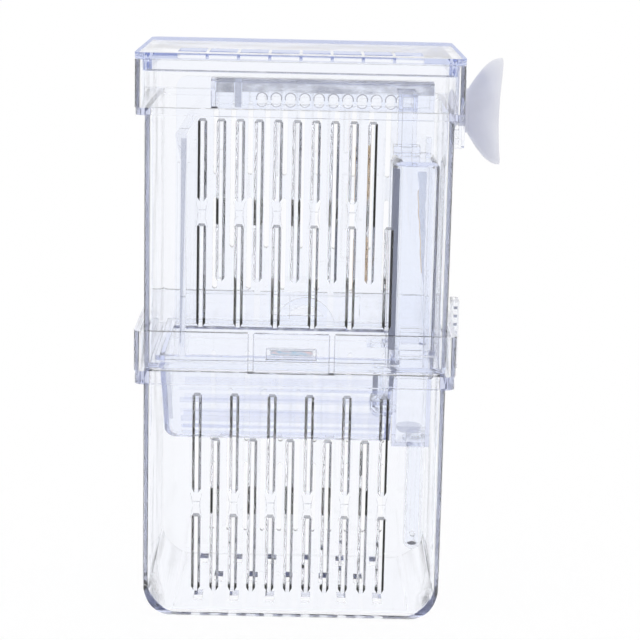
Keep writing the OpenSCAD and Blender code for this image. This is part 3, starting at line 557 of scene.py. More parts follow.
class Shop:
    """Finishes and mesh helpers that the sub-assemblies share.

    Attributes:
        ringed: Solids with ring-shaped faces, and from how many corners on a face is cut up.
        weld_gap: Distance in metres up to which corners are joined.
        flat_angle: Angle in degrees up to which neighbouring faces are merged.
        bevel_angle: Angle in degrees from which an edge is rounded.
    """

    ringed = {"upper_box": 90, "lid": 40}
    weld_gap = 0.000002
    flat_angle = 0.5
    bevel_angle = 32

    def __init__(self, frame: dict) -> None:
        """Build every finish once.
        """
        self.nodes = frame["nodes"]
        effects = SurfaceEffects()
        self.finish = {
            Plastic.BODY: ClearPlastic("body_plastic", slot_trap=0.06).build(effects),
            Plastic.INSERT: ClearPlastic("insert_plastic", tint=(0.972, 0.981, 0.9998),
                                         body=(0.35, 0.44, 0.85), density=12.0,
                                         flow_scale=55.0).build(effects),
            Plastic.LATCH: ClearPlastic("latch_plastic", flow_scale=70.0).build(effects),
            Plastic.LID: ClearPlastic("lid_plastic", body=(0.35, 0.46, 0.85),
                                      painted_rim_blue=0.7).build(effects),
            Plastic.THIN: ClearPlastic("divider_plastic", body=(0.50, 0.52, 0.66), density=2.0,
                                       ior=1.25, trap=0.0, slot_trap=0.0,
                                       flow_scale=30.0).build(effects),
            Plastic.VINYL: MilkyVinyl("milky_vinyl").build(effects),
        }
        # Painted shade and painted light, one layer each: colour, patch colour, cover, ripple, patch scale,
        # and stretch along X, Y and Z
        layers = {
            PaintedLight.BROW: ((0.19, 0.20, 0.28), (0.40, 0.42, 0.50), 0.34, 0.62, 230.0, (0.45, 1.0, 1.0)),
            PaintedLight.PLUG: ((0.16, 0.17, 0.22), (0.34, 0.36, 0.43), 0.42, 0.4, 260.0, (1.0, 1.0, 0.4)),
            PaintedLight.COLUMN: ((0.19, 0.21, 0.30), (0.23, 0.25, 0.34), 0.86, 0.12, 90.0, (1.0, 1.0, 0.15)),
            PaintedLight.CORNER: ((0.30, 0.33, 0.45), (0.40, 0.43, 0.56), 0.32, 0.2, 90.0, (1.0, 1.0, 0.15)),
            PaintedLight.LID: ((0.18, 0.26, 0.62), (0.34, 0.42, 0.74), 0.55, 0.4, 150.0, (0.12, 1.0, 2.0)),
            PaintedLight.RIB: ((0.33, 0.40, 0.76), (0.50, 0.57, 0.88), 0.11, 0.2, 90.0, (0.2, 1.0, 1.0)),
            PaintedLight.LINE: ((0.20, 0.21, 0.28), (0.40, 0.42, 0.50), 0.5, 0.5, 200.0),
            PaintedLight.FOOT: ((0.03, 0.03, 0.05), (0.08, 0.08, 0.12), 0.85, 0.2, 200.0),
            PaintedLight.MARK: ((0.38, 0.40, 0.50), (0.60, 0.62, 0.70), 0.2, 0.4, 420.0),
            PaintedLight.CAP: ((0.17, 0.18, 0.22), (0.27, 0.28, 0.33), 0.42, 0.24, 300.0, (1.0, 1.0, 0.3)),
            PaintedLight.DISH: ((0.40, 0.44, 0.60), (0.50, 0.54, 0.70), 0.2, 0.1, 120.0),
            PaintedLight.STREAK: ((0.36, 0.42, 0.60), (0.62, 0.67, 0.80), 0.34, 0.36, 300.0, (1.0, 1.0, 0.3)),
            PaintedLight.AMBER: ((0.62, 0.38, 0.16), (0.74, 0.58, 0.38), 0.5, 0.5, 160.0, (1.0, 1.0, 0.4)),
            PaintedLight.RAINBOW: ((0.30, 0.62, 0.86), (0.86, 0.62, 0.60), 0.5, 0.3, 330.0, (1.0, 1.0, 3.0)),
        }
        for kind, values in layers.items():
            self.finish[kind] = PaintedLayer(kind.value, *values).build(effects)

    def dress(self, node: str, plastic: Plastic, edge: float = 0.22) -> None:
        """Give a solid its finish and soften its sharp edges as moulding does.

        Faces with a hole are cut up first, because the round edges would close the hole.

        Args:
            node: Name of the solid.
            plastic: Its finish.
            edge: Radius of its edges in millimetres.
        """
        solid = self.nodes[node]
        solid.data.materials.clear()
        solid.data.materials.append(self.finish[plastic])
        weld = solid.modifiers.new("join", "WELD")
        weld.merge_threshold = self.weld_gap
        merge = solid.modifiers.new("merge", "DECIMATE")
        merge.decimate_type = "DISSOLVE"
        merge.angle_limit = math.radians(self.flat_angle)
        if node in self.ringed:
            cut = solid.modifiers.new("cut_up", "TRIANGULATE")
            cut.min_vertices = self.ringed[node]
        if edge:
            bevel = solid.modifiers.new("edges", "BEVEL")
            bevel.width = edge * MM
            bevel.segments = 2
            bevel.limit_method = "ANGLE"
            bevel.angle_limit = math.radians(self.bevel_angle)
            bevel.use_clamp_overlap = True
        LOG.info("dressed %s as %s", node, plastic.value)

    def piece(self, name: str, mesh: Mesh, plastic: Plastic, body: Body,
              layer: PaintedLight | None = None) -> bpy.types.Object:
        """Turn a mesh into a piece that rides on a body.

        Args:
            name: Name of the piece.
            mesh: Its shape, in metres, which is freed.
            plastic: Plastic that it is made of or lies on.
            body: Body that it rides on.
            layer: Its layer of painted shade or painted light, where that isn't the plastic's own finish.

        Returns:
            The new object.
        """
        bmesh.ops.recalc_face_normals(mesh, faces=mesh.faces)
        data = bpy.data.meshes.new(name)
        mesh.to_mesh(data)
        mesh.free()
        data.materials.append(self.finish[layer or plastic])
        made = bpy.data.objects.new(name, data)
        bpy.context.scene.collection.objects.link(made)
        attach(made, body.value)
        LOG.info("built %s on %s", name, body.value)
        return made


def lathe(mesh: Mesh, outline: Path, turns: int = 96) -> None:
    """Turn a closed outline round the X axis.

    Args:
        mesh: Mesh to add to.
        outline: Points of distance along X and radius, in metres.
        turns: Number of steps round the axis.
    """
    rings = []
    for along, radius in outline:
        if radius < ON_AXIS:
            rings.append([mesh.verts.new((along, 0.0, 0.0))])
            continue
        ring = []
        for step in range(turns):
            angle = 2 * math.pi * step / turns
            ring.append(mesh.verts.new((along, radius * math.cos(angle), radius * math.sin(angle))))
        rings.append(ring)
    for first, second in zip(rings, rings[1:]):
        for step in range(turns):
            after = (step + 1) % turns
            if len(first) == 1 and len(second) == 1:
                break
            if len(first) == 1:
                mesh.faces.new((first[0], second[step], second[after]))
            elif len(second) == 1:
                mesh.faces.new((first[step], second[0], first[after]))
            else:
                mesh.faces.new((first[step], second[step], second[after], first[after]))


def strip(mesh: Mesh, inner: Path, outer: Path, axis: Axis, start: float, end: float) -> None:
    """Fill the strip between two paths and draw it out along an axis, as a closed solid.

    Args:
        mesh: Mesh to add to.
        inner: Points of the first path in millimetres.
        outer: As many points of the second path.
        axis: Axis along which the strip is drawn out.
        start: Where it starts on that axis, in millimetres.
        end: Where it ends.
    """
    first, second, along = axis.value
    rows = []
    for path, level in ((inner, start), (outer, start), (outer, end), (inner, end)):
        row = []
        for one, two in path:
            point = [0.0, 0.0, 0.0]
            point[first], point[second], point[along] = one * MM, two * MM, level * MM
            row.append(mesh.verts.new(point))
        rows.append(row)
    for side in range(4):
        near, far = rows[side], rows[(side + 1) % 4]
        for step in range(len(inner) - 1):
            mesh.faces.new((near[step], near[step + 1], far[step + 1], far[step]))
    for last in (0, -1):
        mesh.faces.new([row[last] for row in rows])


def bar(mesh: Mesh, sides: tuple[float, float, float, float], axis: Axis, start: float,
        end: float) -> None:
    """Draw a rectangle out along an axis, as a closed solid.

    Args:
        mesh: Mesh to add to.
        sides: Left, right, lower and upper side of the rectangle in millimetres.
        axis: Axis along which it is drawn out.
        start: Where it starts on that axis.
        end: Where it ends.
    """
    left, right, low, high = sides
    strip(mesh, [(left, low), (left, high)], [(right, low), (right, high)], axis, start, end)


def arc(centre: Pair, radius: float, start: float, end: float, steps: int = 12) -> Path:
    """Return points along an arc.

    Args:
        centre: Its centre.
        radius: Its radius.
        start: Its first angle in degrees.
        end: Its last angle in degrees.
        steps: Number of steps.

    Returns:
        Points of the arc.
    """
    points = []
    for step in range(steps + 1):
        turn = math.radians(start + (end - start) * step / steps)
        points.append((centre[0] + radius * math.cos(turn), centre[1] + radius * math.sin(turn)))
    return points


def pill(left: float, right: float, low: float, high: float) -> tuple[Path, Path]:
    """Return the lower and the upper path of a bar with round ends.

    Args:
        left: Its left end.
        right: Its right end.
        low: Its lower side.
        high: Its upper side.

    Returns:
        Two paths from left to right.
    """
    radius = (high - low) / 2
    middle = (high + low) / 2
    lower = (arc((left + radius, middle), radius, 180, 270, 6)
             + arc((right - radius, middle), radius, 270, 360, 6))
    upper = [(one, 2 * middle - two) for one, two in lower]
    return lower[1:-1], upper[1:-1]


def waist(centre: Pair, half: float, height: float, depth: float, width: float) -> tuple[Path, Path]:
    """Return two paths along one side of a waisted mark.

    Args:
        centre: Middle of the mark.
        half: Distance of its side from the middle, with its sign.
        height: Height of the mark.
        depth: How far the side is drawn in halfway up.
        width: Width of the line.

    Returns:
        Two paths from bottom to top.
    """
    inner, outer = [], []
    for step in range(13):
        share = step / 12
        level = centre[1] + (share - 0.5) * height
        side = centre[0] + half - math.copysign(depth, half) * math.sin(math.pi * share)
        thick = width * (0.35 + 0.65 * math.sin(math.pi * share))
        inner.append((side - thick / 2, level))
        outer.append((side + thick / 2, level))
    return inner, outer


@dataclass
class BridgeMarks:
    """Waisted sink marks in the front wall, between two slots that stand above each other, drawn as painted
    shade.

    Attributes:
        name: Name of the piece.
        body: Body that carries the wall.
        left: Place of the first mark along X.
        pitch: Spacing of the marks.
        level: Height of their middle.
        count: Number of marks.
        far: Where the marks end above the wall.
        halves: Distances of a mark's two sides from its middle.
        size: Height of a mark, how far its sides are drawn in, and the width of their lines.
    """

    name: str
    body: Body
    left: float
    pitch: float
    level: float
    count: int
    far: float = 0.11
    halves: Pair = (-2.0, 1.9)
    size: tuple[float, float, float] = (8.8, 0.7, 0.33)

    def build(self, shop: Shop) -> None:
        """Build the marks as one piece."""
        mesh = bmesh.new()
        depth = (WALL_FACE + PAINT_NEAR, WALL_FACE + self.far)
        for place in range(self.count):
            middle = self.left + place * self.pitch
            for half in self.halves:
                strip(mesh, *waist((middle, self.level), half, *self.size), Axis.Y, *depth)
            dash = pill(middle - 1.1, middle + 1.3, self.level + 1.2, self.level + 1.6)
            strip(mesh, *dash, Axis.Y, *depth)
        shop.piece(self.name, mesh, Plastic.BODY, self.body, PaintedLight.MARK)


@dataclass
class SlotShades:
    """Grey upper ends and left flanks of the front wall's slots, where the wall turns light away.

    Attributes:
        name: Name of the piece.
        body: Body that carries the wall.
        left: Place of the first slot column along X.
        pitch: Spacing of the columns.
        even: Lower and upper ends of the slots in the first column and every second one after it.
        odd: Ends of the slots in the other columns.
        last: Ends of the slots in the last column.
        columns: Number of columns.
        far: Where the caps end above the wall.
        flank: How deep a flank's shade starts and ends in the wall.
    """

    name: str
    body: Body
    left: float
    pitch: float
    even: tuple[Pair, ...]
    odd: tuple[Pair, ...]
    last: tuple[Pair, ...]
    columns: int = 11
    far: float = 0.12
    flank: Pair = (1.85, 0.15)

    def build(self, shop: Shop) -> None:
        """Build the shades as one piece."""
        mesh = bmesh.new()
        back, front = WALL_FACE - self.flank[0], WALL_FACE - self.flank[1]
        for column in range(self.columns):
            spans = self.odd if column % 2 else self.even
            if column == self.columns - 1:
                spans = self.last
            x = self.left + column * self.pitch
            for low, high in spans:
                strip(mesh, [(x - 1.35, high - 0.1), (x - 0.95, high + 0.75)],
                      [(x + 1.35, high - 0.1), (x + 0.95, high + 0.75)], Axis.Y,
                      WALL_FACE + PAINT_NEAR, WALL_FACE + self.far)
                strip(mesh, [(x - 0.62, back), (x - 1.36, front)],
                      [(x - 0.52, back), (x - 1.26, front)], Axis.Z, low + 1.1, high - 0.12)
        shop.piece(self.name, mesh, Plastic.BODY, self.body, PaintedLight.CAP)


@dataclass
class LowerStorey:
    """Lower box with its rim, latches and side rack."""

    solids: tuple[tuple[str, Plastic], ...] = (
        ("lower_box", Plastic.BODY), ("side_rack", Plastic.LATCH),
        ("front_latch", Plastic.LATCH), ("back_latch", Plastic.LATCH))
    window: tuple[float, float, float, float] = (-9.5, 7.0, 90.9, 94.7)
    line: float = 0.3
    line_face: Pair = (-37.9, -37.8)
    line_top: float = 99.4
    rack_windows: tuple[float, ...] = (93.75, 96.65, 99.55, 102.45)

    def dress(self, shop: Shop) -> None:
        """Dress the solids and add the sink marks, the slot shades and the moulded lines, drawn as painted
        shade.
        """
        for node, plastic in self.solids:
            shop.dress(node, plastic)
        ends = ((10.0, 36.0), (44.2, 77.5))
        BridgeMarks("lower_marks", Body.LOWER, -32.1, 12.4, 39.4, 6).build(shop)
        SlotShades("lower_shades", Body.LOWER, -32.1, 6.2, ends, ((10.0, 62.3),), ends).build(shop)
        self._window_frame(shop)
        self._slit_lines(shop)
        self._rack_lines(shop)

    def _upright(self, mesh: Mesh, left: float, low: float) -> None:
        """Add an upright painted shade line that starts at a height and ends at the lines' top."""
        bar(mesh, (left, left + self.line, low, self.line_top), Axis.Y, *self.line_face)

    def _window_frame(self, shop: Shop) -> None:
        """Build the moulded lines round the latch's window and along the latch's sides, drawn as painted
        shade.
        """
        mesh = bmesh.new()
        left, right, low, high = self.window
        thick = self.line
        for level in (low, high - thick):
            bar(mesh, (left, right, level, level + thick), Axis.Y, *self.line_face)
        for side in (left, right - thick):
            bar(mesh, (side, side + thick, low + thick + 0.02, high - thick - 0.02), Axis.Y,
                *self.line_face)
        for side in (-13.85, 11.05):
            self._upright(mesh, side, 86.5)
        shop.piece("latch_lines", mesh, Plastic.LATCH, Body.FRONT_LATCH, PaintedLight.CORNER)

    def _slit_lines(self, shop: Shop) -> None:
        """Build the rim's lines beside the latch's slits, drawn as painted shade."""
        mesh = bmesh.new()
        for side in (-15.55, 12.75):
            self._upright(mesh, side, 86.2)
        shop.piece("slit_lines", mesh, Plastic.BODY, Body.LOWER, PaintedLight.CORNER)

    def _rack_lines(self, shop: Shop) -> None:
        """Build painted shade lines at the lower edges of the rack's windows."""
        mesh = bmesh.new()
        for low in self.rack_windows:
            bar(mesh, (53.9, 55.0, low + 0.03, low + 0.3), Axis.Y, -4.9, 4.9)
        shop.piece("rack_lines", mesh, Plastic.LATCH, Body.LOWER, PaintedLight.CORNER)


@dataclass
class UpperStorey:
    """Upper box with the overflow plate, the spray channel, the divider and the hopper."""

    solids: tuple[tuple[str, Plastic], ...] = (
        ("upper_box", Plastic.BODY), ("overflow_plate", Plastic.INSERT),
        ("spray_channel", Plastic.INSERT), ("divider", Plastic.THIN),
        ("hopper", Plastic.INSERT))
    channel_front: float = 23.4
    channel_top: float = 177.0
    brow_radius: float = 4.0
    arches: int = 10
    arch_left: float = -13.6
    arch_pitch: float = 5.0
    arch_foot: float = 167.9
    arch_half: float = 1.7
    arch_high: float = 4.4
    keel: float = 55.0
    keel_half: float = 2.8
    slope: float = 0.7443
    catch_face: Pair = (-35.97, -35.93)
    front_ribs: tuple[Pair, ...] = (
        (56.3, 1.8), (59.4, 1.2), (62.2, 2.6), (66.3, 1.6), (70.4, 2.2), (75.7, 1.4))
    back_ribs: tuple[Pair, ...] = ((56.8, 1.2), (60.3, 1.6), (64.9, 1.8), (69.6, 2.2))

    def dress(self, shop: Shop) -> None:
        """Dress the solids and add what the solids leave out, drawn as painted shade and painted glints."""
        for node, plastic in self.solids:
            shop.dress(node, plastic)
        BridgeMarks("upper_marks", Body.UPPER, -31.2, 12.2, 138.0, 5).build(shop)
        SlotShades("upper_shades", Body.UPPER, -31.2, 6.1, ((100.9, 134.2), (142.4, 168.4)),
                   ((116.1, 168.4),), ((100.9, 134.2),)).build(shop)
        self._channel(shop)
        self._arches(shop)
        self._hopper_ribs(shop)
        self._catch(shop)
        self._glint_and_shade_lines(shop)
        self._divider_edge(shop)

    @staticmethod
    def _divider_edge(shop: Shop) -> None:
        """Build a painted shade line along the divider's front edge, which widens upwards."""
        mesh = bmesh.new()
        strip(mesh, [(-38.1, 95.0), (-38.1, 128.0), (-38.1, 162.5)],
              [(-37.5, 95.0), (-36.9, 128.0), (-36.3, 162.5)], Axis.Y, -32.83, -32.73)
        shop.piece("divider_edge", mesh, Plastic.THIN, Body.DIVIDER, PaintedLight.CORNER)

    def _brow(self, mesh: Mesh, left: float, right: float, low: float) -> None:
        """Lay a layer of painted shade round the channel's upper front edge.

        Args:
            mesh: Mesh to add to.
            left: Where it starts along X.
            right: Where it ends.
            low: Height of its lower edge on the channel's front.
        """
        radius = self.brow_radius
        centre = (self.channel_front + radius, self.channel_top - radius)
        paths = [[(self.channel_front - gap, low)] + arc(centre, radius + gap, 180, 96)
                 for gap in (PAINT_NEAR, PAINT_FAR)]
        strip(mesh, *paths, Axis.X, left, right)

    def _channel(self, shop: Shop) -> None:
        """Build painted shade on the channel's round edge, its end plug and the plug's foot, with painted
        shade lines beside them.
        """
        mesh = bmesh.new()
        self._brow(mesh, -20.6, 46.4, 172.6)
        shop.piece("channel_brow", mesh, Plastic.INSERT, Body.UPPER, PaintedLight.BROW)
        mesh = bmesh.new()
        self._brow(mesh, -29.6, -23.3, 172.3)
        shop.piece("channel_plug", mesh, Plastic.INSERT, Body.UPPER, PaintedLight.PLUG)
        mesh = bmesh.new()
        self._brow(mesh, -23.1, -20.8, 167.2)
        face = (self.channel_front - PAINT_FAR, self.channel_front - PAINT_NEAR)
        for left, right in ((-31.4, -31.1), (-29.9, -29.6)):
            bar(mesh, (left, right, 167.0, 172.8), Axis.Y, *face)
        shop.piece("channel_ribs", mesh, Plastic.INSERT, Body.UPPER, PaintedLight.CORNER)
        mesh = bmesh.new()
        strip(mesh, *pill(-31.3, -29.0, 166.6, 167.3), Axis.Y, *face)
        shop.piece("channel_foot", mesh, Plastic.INSERT, Body.UPPER, PaintedLight.FOOT)

    def _arches(self, shop: Shop) -> None:
        """Outline the ten arched outlets with painted shade lines."""
        mesh = bmesh.new()
        face = (self.channel_front - PAINT_FAR, self.channel_front - PAINT_NEAR)
        spring = self.arch_foot + self.arch_high - self.arch_half
        for place in range(self.arches):
            middle = self.arch_left + place * self.arch_pitch
            for level, thick, end, steps in ((spring, 0.36, -20, 20),
                                             (self.arch_foot + 1.5, 0.22, 340, 16)):
                paths = [arc((middle, level), radius, 200, end, steps)
                         for radius in (self.arch_half, self.arch_half + thick)]
                strip(mesh, *paths, Axis.Y, *face)
        shop.piece("arch_edges", mesh, Plastic.INSERT, Body.UPPER, PaintedLight.LINE)

    def _slope_at(self, level: float) -> float:
        """Return how far the hopper's outer face lies from the middle at a height."""
        return self.keel_half + self.slope * (level - self.keel)

    def _hopper_ribs(self, shop: Shop) -> None:
        """Build the hopper's long flow ribs in painted blue shade and two painted shade bands at its left
        end.
        """
        mesh = bmesh.new()
        for ribs, side in ((self.front_ribs, -1.0), (self.back_ribs, 1.0)):
            for level, height in ribs:
                inner, outer = [], []
                for step in range(7):
                    share = step / 6
                    z = level + height * share
                    bulge = 0.04 + 0.12 * math.sin(math.pi * share)
                    inner.append((side * (self._slope_at(z) + 0.03), z))
                    outer.append((side * (self._slope_at(z) + bulge), z))
                strip(mesh, inner, outer, Axis.X, -39.0, 32.6)
        shop.piece("hopper_ribs", mesh, Plastic.INSERT, Body.UPPER, PaintedLight.RIB)
        mesh = bmesh.new()
        for gap, left, right, low in ((0.03, -44.6, -43.5, 60.5), (0.15, -44.6, -41.6, 63.0)):
            paths = [[(-(self._slope_at(z) + off), z) for z in (low, 87.9)] for off in (gap, gap + 0.1)]
            strip(mesh, *paths, Axis.X, left, right)
        shop.piece("hopper_end", mesh, Plastic.INSERT, Body.UPPER, PaintedLight.DISH)

    def _catch(self, shop: Shop) -> None:
        """Build a painted rainbow glint on the stressed face of the catch in the latch's window, edged with
        painted shade lines.
        """
        mesh = bmesh.new()
        strip(mesh, *pill(-8.2, 5.9, 92.1, 93.4), Axis.Y, *self.catch_face)
        shop.piece("catch_face", mesh, Plastic.BODY, Body.UPPER, PaintedLight.RAINBOW)
        mesh = bmesh.new()
        for low, high in ((91.97, 92.12), (93.38, 93.6)):
            strip(mesh, *pill(-8.4, 6.0, low, high), Axis.Y, *self.catch_face)
        shop.piece("catch_edges", mesh, Plastic.BODY, Body.UPPER, PaintedLight.LINE)

    def _glint_and_shade_lines(self, shop: Shop) -> None:
        """Build the painted amber glint on one slot's flank and the faint painted shade lines at the back.
        """
        mesh = bmesh.new()
        for low, high in ((143.5, 161.0), (113.0, 131.0)):
            strip(mesh, [(18.32, -34.7), (18.86, -33.3)], [(18.12, -34.7), (18.66, -33.3)], Axis.Z,
                  low, high)
        shop.piece("amber_lines", mesh, Plastic.BODY, Body.UPPER, PaintedLight.AMBER)
        mesh = bmesh.new()
        for sides in ((-33.0, 22.8, 99.0, 99.25), (-2.75, -2.5, 90.6, 99.0),
                      (22.5, 22.8, 90.6, 99.0), (-8.15, -7.85, 142.0, 162.0)):
            bar(mesh, sides, Axis.Y, 31.5, 31.62)
        shop.piece("back_lines", mesh, Plastic.INSERT, Body.UPPER, PaintedLight.MARK)


@dataclass
class WaterLift:
    """Column, foot, pipe, nozzle and riser that lift the water."""

    solids: tuple[str, ...] = ("lift_column", "column_foot", "intake_pipe", "air_nozzle",
                               "riser_duct")
    middle: float = 39.35
    half_width: float = 7.85
    half_depth: float = 14.0
    corner: float = 4.0
    low: float = 80.3
    high: float = 151.6
    streak_top: float = 150.8
    streak_long: float = 62.0
    streak_taper: float = 0.62
    streak_steps: int = 60

    def dress(self, shop: Shop) -> None:
        """Dress the solids and add what the solids leave out, mostly drawn as painted shade."""
        for node in self.solids:
            shop.dress(node, Plastic.INSERT)
        self._corners(shop)
        self._flow_streak(shop)
        self._foot_bowl(shop)
        self._elbow(shop)

    def _elbow(self, shop: Shop) -> None:
        """Build painted shade as a dark curve along the nozzle's left side and round the air arm's end."""
        mesh = bmesh.new()
        paths = [arc((28.9, 0.0), radius, 130, 262) for radius in (1.93, 2.03)]
        strip(mesh, *paths, Axis.Z, 71.4, 78.3)
        paths = [[(side, 69.3)] + arc((29.3, 67.5), radius, 180, 266)
                 for side, radius in ((26.27, 3.03), (26.17, 3.13))]
        strip(mesh, *paths, Axis.Y, -3.8, 3.8)
        shop.piece("elbow_shade", mesh, Plastic.INSERT, Body.UPPER, PaintedLight.COLUMN)

    def _corner_layer(self, mesh: Mesh, side: int, front: int, start: float,
                      end: float) -> None:
        """Lay an upright layer of painted shade round one corner of the column.

        Args:
            mesh: Mesh to add to.
            side: Which end of the column, -1 for left and 1 for right.
            front: -1 for its front and 1 for its back.
            start: First angle of the layer in degrees.
            end: Last angle.
        """
        centre = (self.middle + side * (self.half_width - self.corner),
                  front * (self.half_depth - self.corner))
        strip(mesh, arc(centre, self.corner + PAINT_NEAR, start, end),
              arc(centre, self.corner + PAINT_FAR, start, end), Axis.Z, self.low, self.high)

    def _corners(self, shop: Shop) -> None:
        """Build the painted grey shade bands at the column's round corners."""
        mesh = bmesh.new()
        self._corner_layer(mesh, -1, -1, 180, 243)
        shop.piece("column_band", mesh, Plastic.INSERT, Body.UPPER, PaintedLight.COLUMN)
        mesh = bmesh.new()
        self._corner_layer(mesh, 1, 1, 0, 40)
        self._corner_layer(mesh, -1, 1, 140, 180)
        shop.piece("column_edges", mesh, Plastic.INSERT, Body.UPPER, PaintedLight.CORNER)

    def _flow_streak(self, shop: Shop) -> None:
        """Build the flow streak in the column's front wall as painted shade, wide above, with a painted
        amber glint along its edge.
        """
        mesh = bmesh.new()
        left, right = [], []
        for step in range(self.streak_steps + 1):
            share = step / self.streak_steps
            z = self.streak_top - self.streak_long * share
            taper = max(0.0, 1.0 - share / self.streak_taper)
            x = 41.2 + 2.2 * share + 0.1 * math.sin(23 * share)
            width = 0.12 + 1.5 * taper ** 0.8 * (1 + 0.1 * math.sin(61 * share))
            left.append((x - width, z))
            right.append((x + width * 0.8, z))
        face = (-self.half_depth - PAINT_FAR, -self.half_depth - PAINT_NEAR)
        strip(mesh, left, right, Axis.Y, *face)
        shop.piece("flow_streak", mesh, Plastic.INSERT, Body.UPPER, PaintedLight.STREAK)
        mesh = bmesh.new()
        edge = [(x - 0.05, z) for x, z in left[6:34]]
        strip(mesh, [(x - 0.25, z) for x, z in edge], edge, Axis.Y, *face)
        shop.piece("amber_edge", mesh, Plastic.INSERT, Body.UPPER, PaintedLight.AMBER)

    def _foot_bowl(self, shop: Shop) -> None:
        """Build the dish over the pipe's mouth in faint painted shade, and painted shade at the pipe's end.
        """
        for name, place, layer, outline in (
                ("foot_bowl", (39.9, 58.0), PaintedLight.DISH,
                 [(0.05, 0.0), (0.05, 3.4), (0.6, 4.1), (2.3, 4.45), (2.3, 4.3), (0.7, 3.9), (0.2, 3.3),
                  (0.2, 0.0)]),
                ("pipe_end_shade", (42.3, 17.1), PaintedLight.FOOT, [(0.0, 0.0), (0.0, 1.65), (0.12, 1.7), (0.12, 0.0)])):
            mesh = bmesh.new()
            lathe(mesh, [(along * MM, radius * MM) for along, radius in outline], 64)
            bmesh.ops.rotate(mesh, verts=mesh.verts, matrix=Matrix.Rotation(-math.pi / 2, 3, "Y"))
            bmesh.ops.translate(mesh, verts=mesh.verts, vec=Vector((place[0], 0.0, place[1])) * MM)
            shop.piece(name, mesh, Plastic.INSERT, Body.UPPER, layer)


@dataclass
class Hanger:
    """Keyhole bracket and suction cup."""

    centre: tuple[float, float, float] = (0.0, 0.0, 170.0)
    radius: float = 18.0
    set_back: float = 2.0
    saddle: float = 2.2
    stem: float = 5.0
    neck: Pair = (56.6, 7.5)
    bell_rise: float = 10.4
    hollow_start: float = 57.9
    hollow_short: float = 1.2
    hollow_radius: float = 17.1
    steps: int = 20

    def dress(self, shop: Shop) -> None:
        """Dress the bracket and build the cup."""
        shop.dress("cup_bracket", Plastic.LATCH)
        mesh = bmesh.new()
        lathe(mesh, [(along * MM, radius * MM) for along, radius in self._profile()])
        for vert in mesh.verts:
            vert.co.x -= self.saddle * MM * min(1.0, (vert.co.y / (self.radius * MM)) ** 2)
        bmesh.ops.translate(mesh, verts=mesh.verts, vec=Vector(self.centre) * MM)
        cup = shop.piece("soft_cup", mesh, Plastic.VINYL, Body.CUP)
        for face in cup.data.polygons:
            face.use_smooth = True
        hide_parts("suction_cup")

    def _profile(self) -> Path:
        """Return the cup's outline from the head over the stem and the bell back to the axis."""
        low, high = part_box("suction_cup")
        start = low.x / MM
        neck, neck_radius = self.neck
        points = [(start, 0.0), (start, 6.4), (start + 0.3, 6.9), (start + 0.8, 7.0),
                  (start + 1.6, 6.9), (start + 2.0, 6.4), (start + 2.15, 5.6), (start + 2.4, self.stem),
                  (55.3, self.stem), (55.5, 6.6), (55.7, 7.2), (56.0, 7.4), (neck, neck_radius)]
        reach = high.x / MM - self.set_back - neck
        for step in range(1, self.steps + 1):
            share = step / self.steps
            bulge = math.sin(math.pi / 2 * share) ** 0.95
            points.append((neck + reach * share, neck_radius + self.bell_rise * bulge))
        edge = neck + reach
        points += [(edge + 0.25, 17.98), (edge + 0.45, 17.8), (edge + 0.4, 17.5)]
        for step in range(self.steps, 0, -1):
            share = step / self.steps
            points.append((self.hollow_start + (reach - self.hollow_short) * share,
                           self.hollow_radius * math.sin(math.pi / 2 * share)))
        return points + [(self.hollow_start, 0.0)]


@dataclass
class Lid:
    """Lid with its plug and feeding windows."""

    plug_half_width: float = 50.4
    plug_half_depth: float = 35.4
    plug_low: float = 184.3
    plug_high: float = 188.0
    blue_depth: Pair = (0.06, 0.2)

    def dress(self, shop: Shop) -> None:
        """Dress the lid, and add painted blue shade along its plug's back and sides and a painted shade
        line along the plug's front.
        """
        shop.dress("lid", Plastic.LID)
        low, high = self.plug_low, self.plug_high
        mesh = bmesh.new()
        face = self.plug_half_depth
        near, far = self.blue_depth
        strip(mesh, *pill(-49.0, 49.0, low, high), Axis.Y, face + near, face + far)
        for side in (-1, 1):
            face = side * self.plug_half_width
            strip(mesh, *pill(-34.0, 34.0, low, high), Axis.X, face + side * near, face + side * far)
        shop.piece("lid_edge_painted_blue", mesh, Plastic.LID, Body.LID, PaintedLight.LID)
        mesh = bmesh.new()
        strip(mesh, *pill(-49.0, 49.0, low - 0.02, low + 0.42), Axis.Y, -self.plug_half_depth - 0.16,
              -self.plug_half_depth - 0.06)
        shop.piece("plug_line", mesh, Plastic.LID, Body.LID, PaintedLight.LINE)


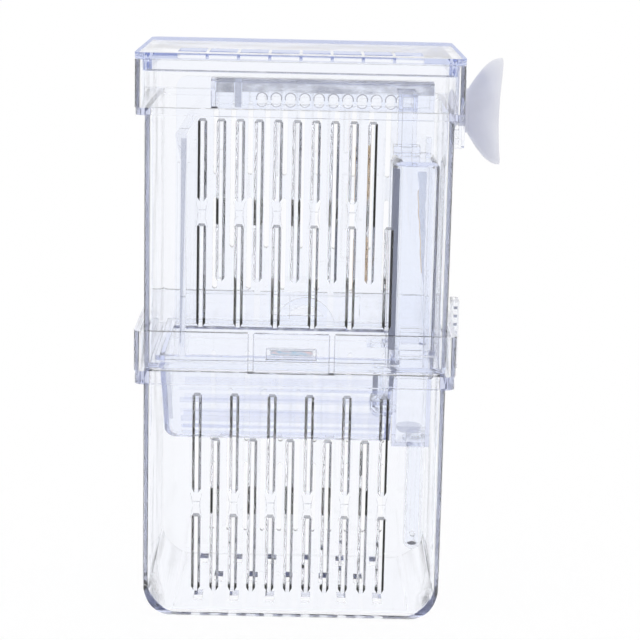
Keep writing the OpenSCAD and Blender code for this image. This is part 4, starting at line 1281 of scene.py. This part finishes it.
@dataclass
class Studio:
    """Floor, white world that lights the object, and camera."""

    sensor: float = 36.0
    photo_px: float = 640.0
    focal_px: float = 2012.9
    eye: tuple[float, float, float] = (3.09, -680.5, 238.3)
    pitch: float = 0.2052
    yaw: float = -0.0075
    roll: float = 0.0222
    floor_glow: float = 0.85
    floor_half: float = 4.0
    floor_gap: float = 0.0002
    bounces: int = 40

    def camera(self) -> None:
        """Place the camera."""
        data = bpy.data.cameras.new("view")
        data.sensor_width = self.sensor
        data.lens = self.sensor * self.focal_px / self.photo_px
        data.clip_start = 0.01
        data.clip_end = 20.0
        made = bpy.data.objects.new("view", data)
        made.location = Vector(self.eye) * MM
        turn = (Matrix.Rotation(self.yaw, 4, "Z")
                @ Matrix.Rotation(math.pi / 2 - self.pitch, 4, "X")
                @ Matrix.Rotation(self.roll, 4, "Z"))
        made.rotation_euler = turn.to_euler()
        bpy.context.scene.collection.objects.link(made)
        bpy.context.scene.camera = made

    def floor(self) -> None:
        """Lay the pale floor."""
        mesh = bmesh.new()
        bmesh.ops.create_grid(mesh, x_segments=8, y_segments=8, size=self.floor_half)
        data = bpy.data.meshes.new("floor")
        mesh.to_mesh(data)
        mesh.free()
        floor = bpy.data.objects.new("floor", data)
        floor.location = (0, 0, -self.floor_gap)
        bpy.context.scene.collection.objects.link(floor)
        material, tree, shader = new_material("pale_floor")
        fill(tree, shader, {"Base Color": (1.0, 1.0, 1.0, 1.0), "Roughness": 0.9,
                            "Specular IOR Level": 0.0})
        glow = add_node(tree, "Emission", {})
        share = math_node(tree, "MULTIPLY", background_ray(tree), self.floor_glow)
        mix = mix_shaders(tree, shader.outputs[0], glow.outputs[0], share)
        fill(tree, tree.nodes["Material Output"], {"Surface": mix})
        data.materials.append(material)

    def world(self) -> None:
        """Surround the object with a white studio."""
        world = bpy.data.worlds.new("studio")
        bpy.context.scene.world = world
        world.use_nodes = True
        tree = world.node_tree
        fill(tree, tree.nodes["Background"], {"Color": (1.0, 1.0, 1.0, 1.0), "Strength": 1.0})
        world.cycles.sampling_method = "MANUAL"
        world.cycles.sample_map_resolution = 64

    def build(self) -> None:
        """Build the whole studio."""
        self.floor()
        self.world()
        scene = bpy.context.scene
        scene.view_settings.view_transform = "Standard"
        scene.cycles.max_bounces = self.bounces
        scene.cycles.transmission_bounces = self.bounces
        scene.cycles.glossy_bounces = 24
        scene.cycles.transparent_max_bounces = self.bounces
        scene.cycles.caustics_refractive = False
        scene.cycles.caustics_reflective = False


def main() -> None:
    """Build and dress the whole object."""
    logging.basicConfig(level=logging.INFO, format="%(message)s")
    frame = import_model()
    studio = Studio()
    studio.camera()
    shop = Shop(frame)
    for assembly in (LowerStorey(), UpperStorey(), WaterLift(), Hanger(), Lid()):
        assembly.dress(shop)
    studio.build()
    bpy.context.view_layer.update()


if __name__ == "__main__":
    main()
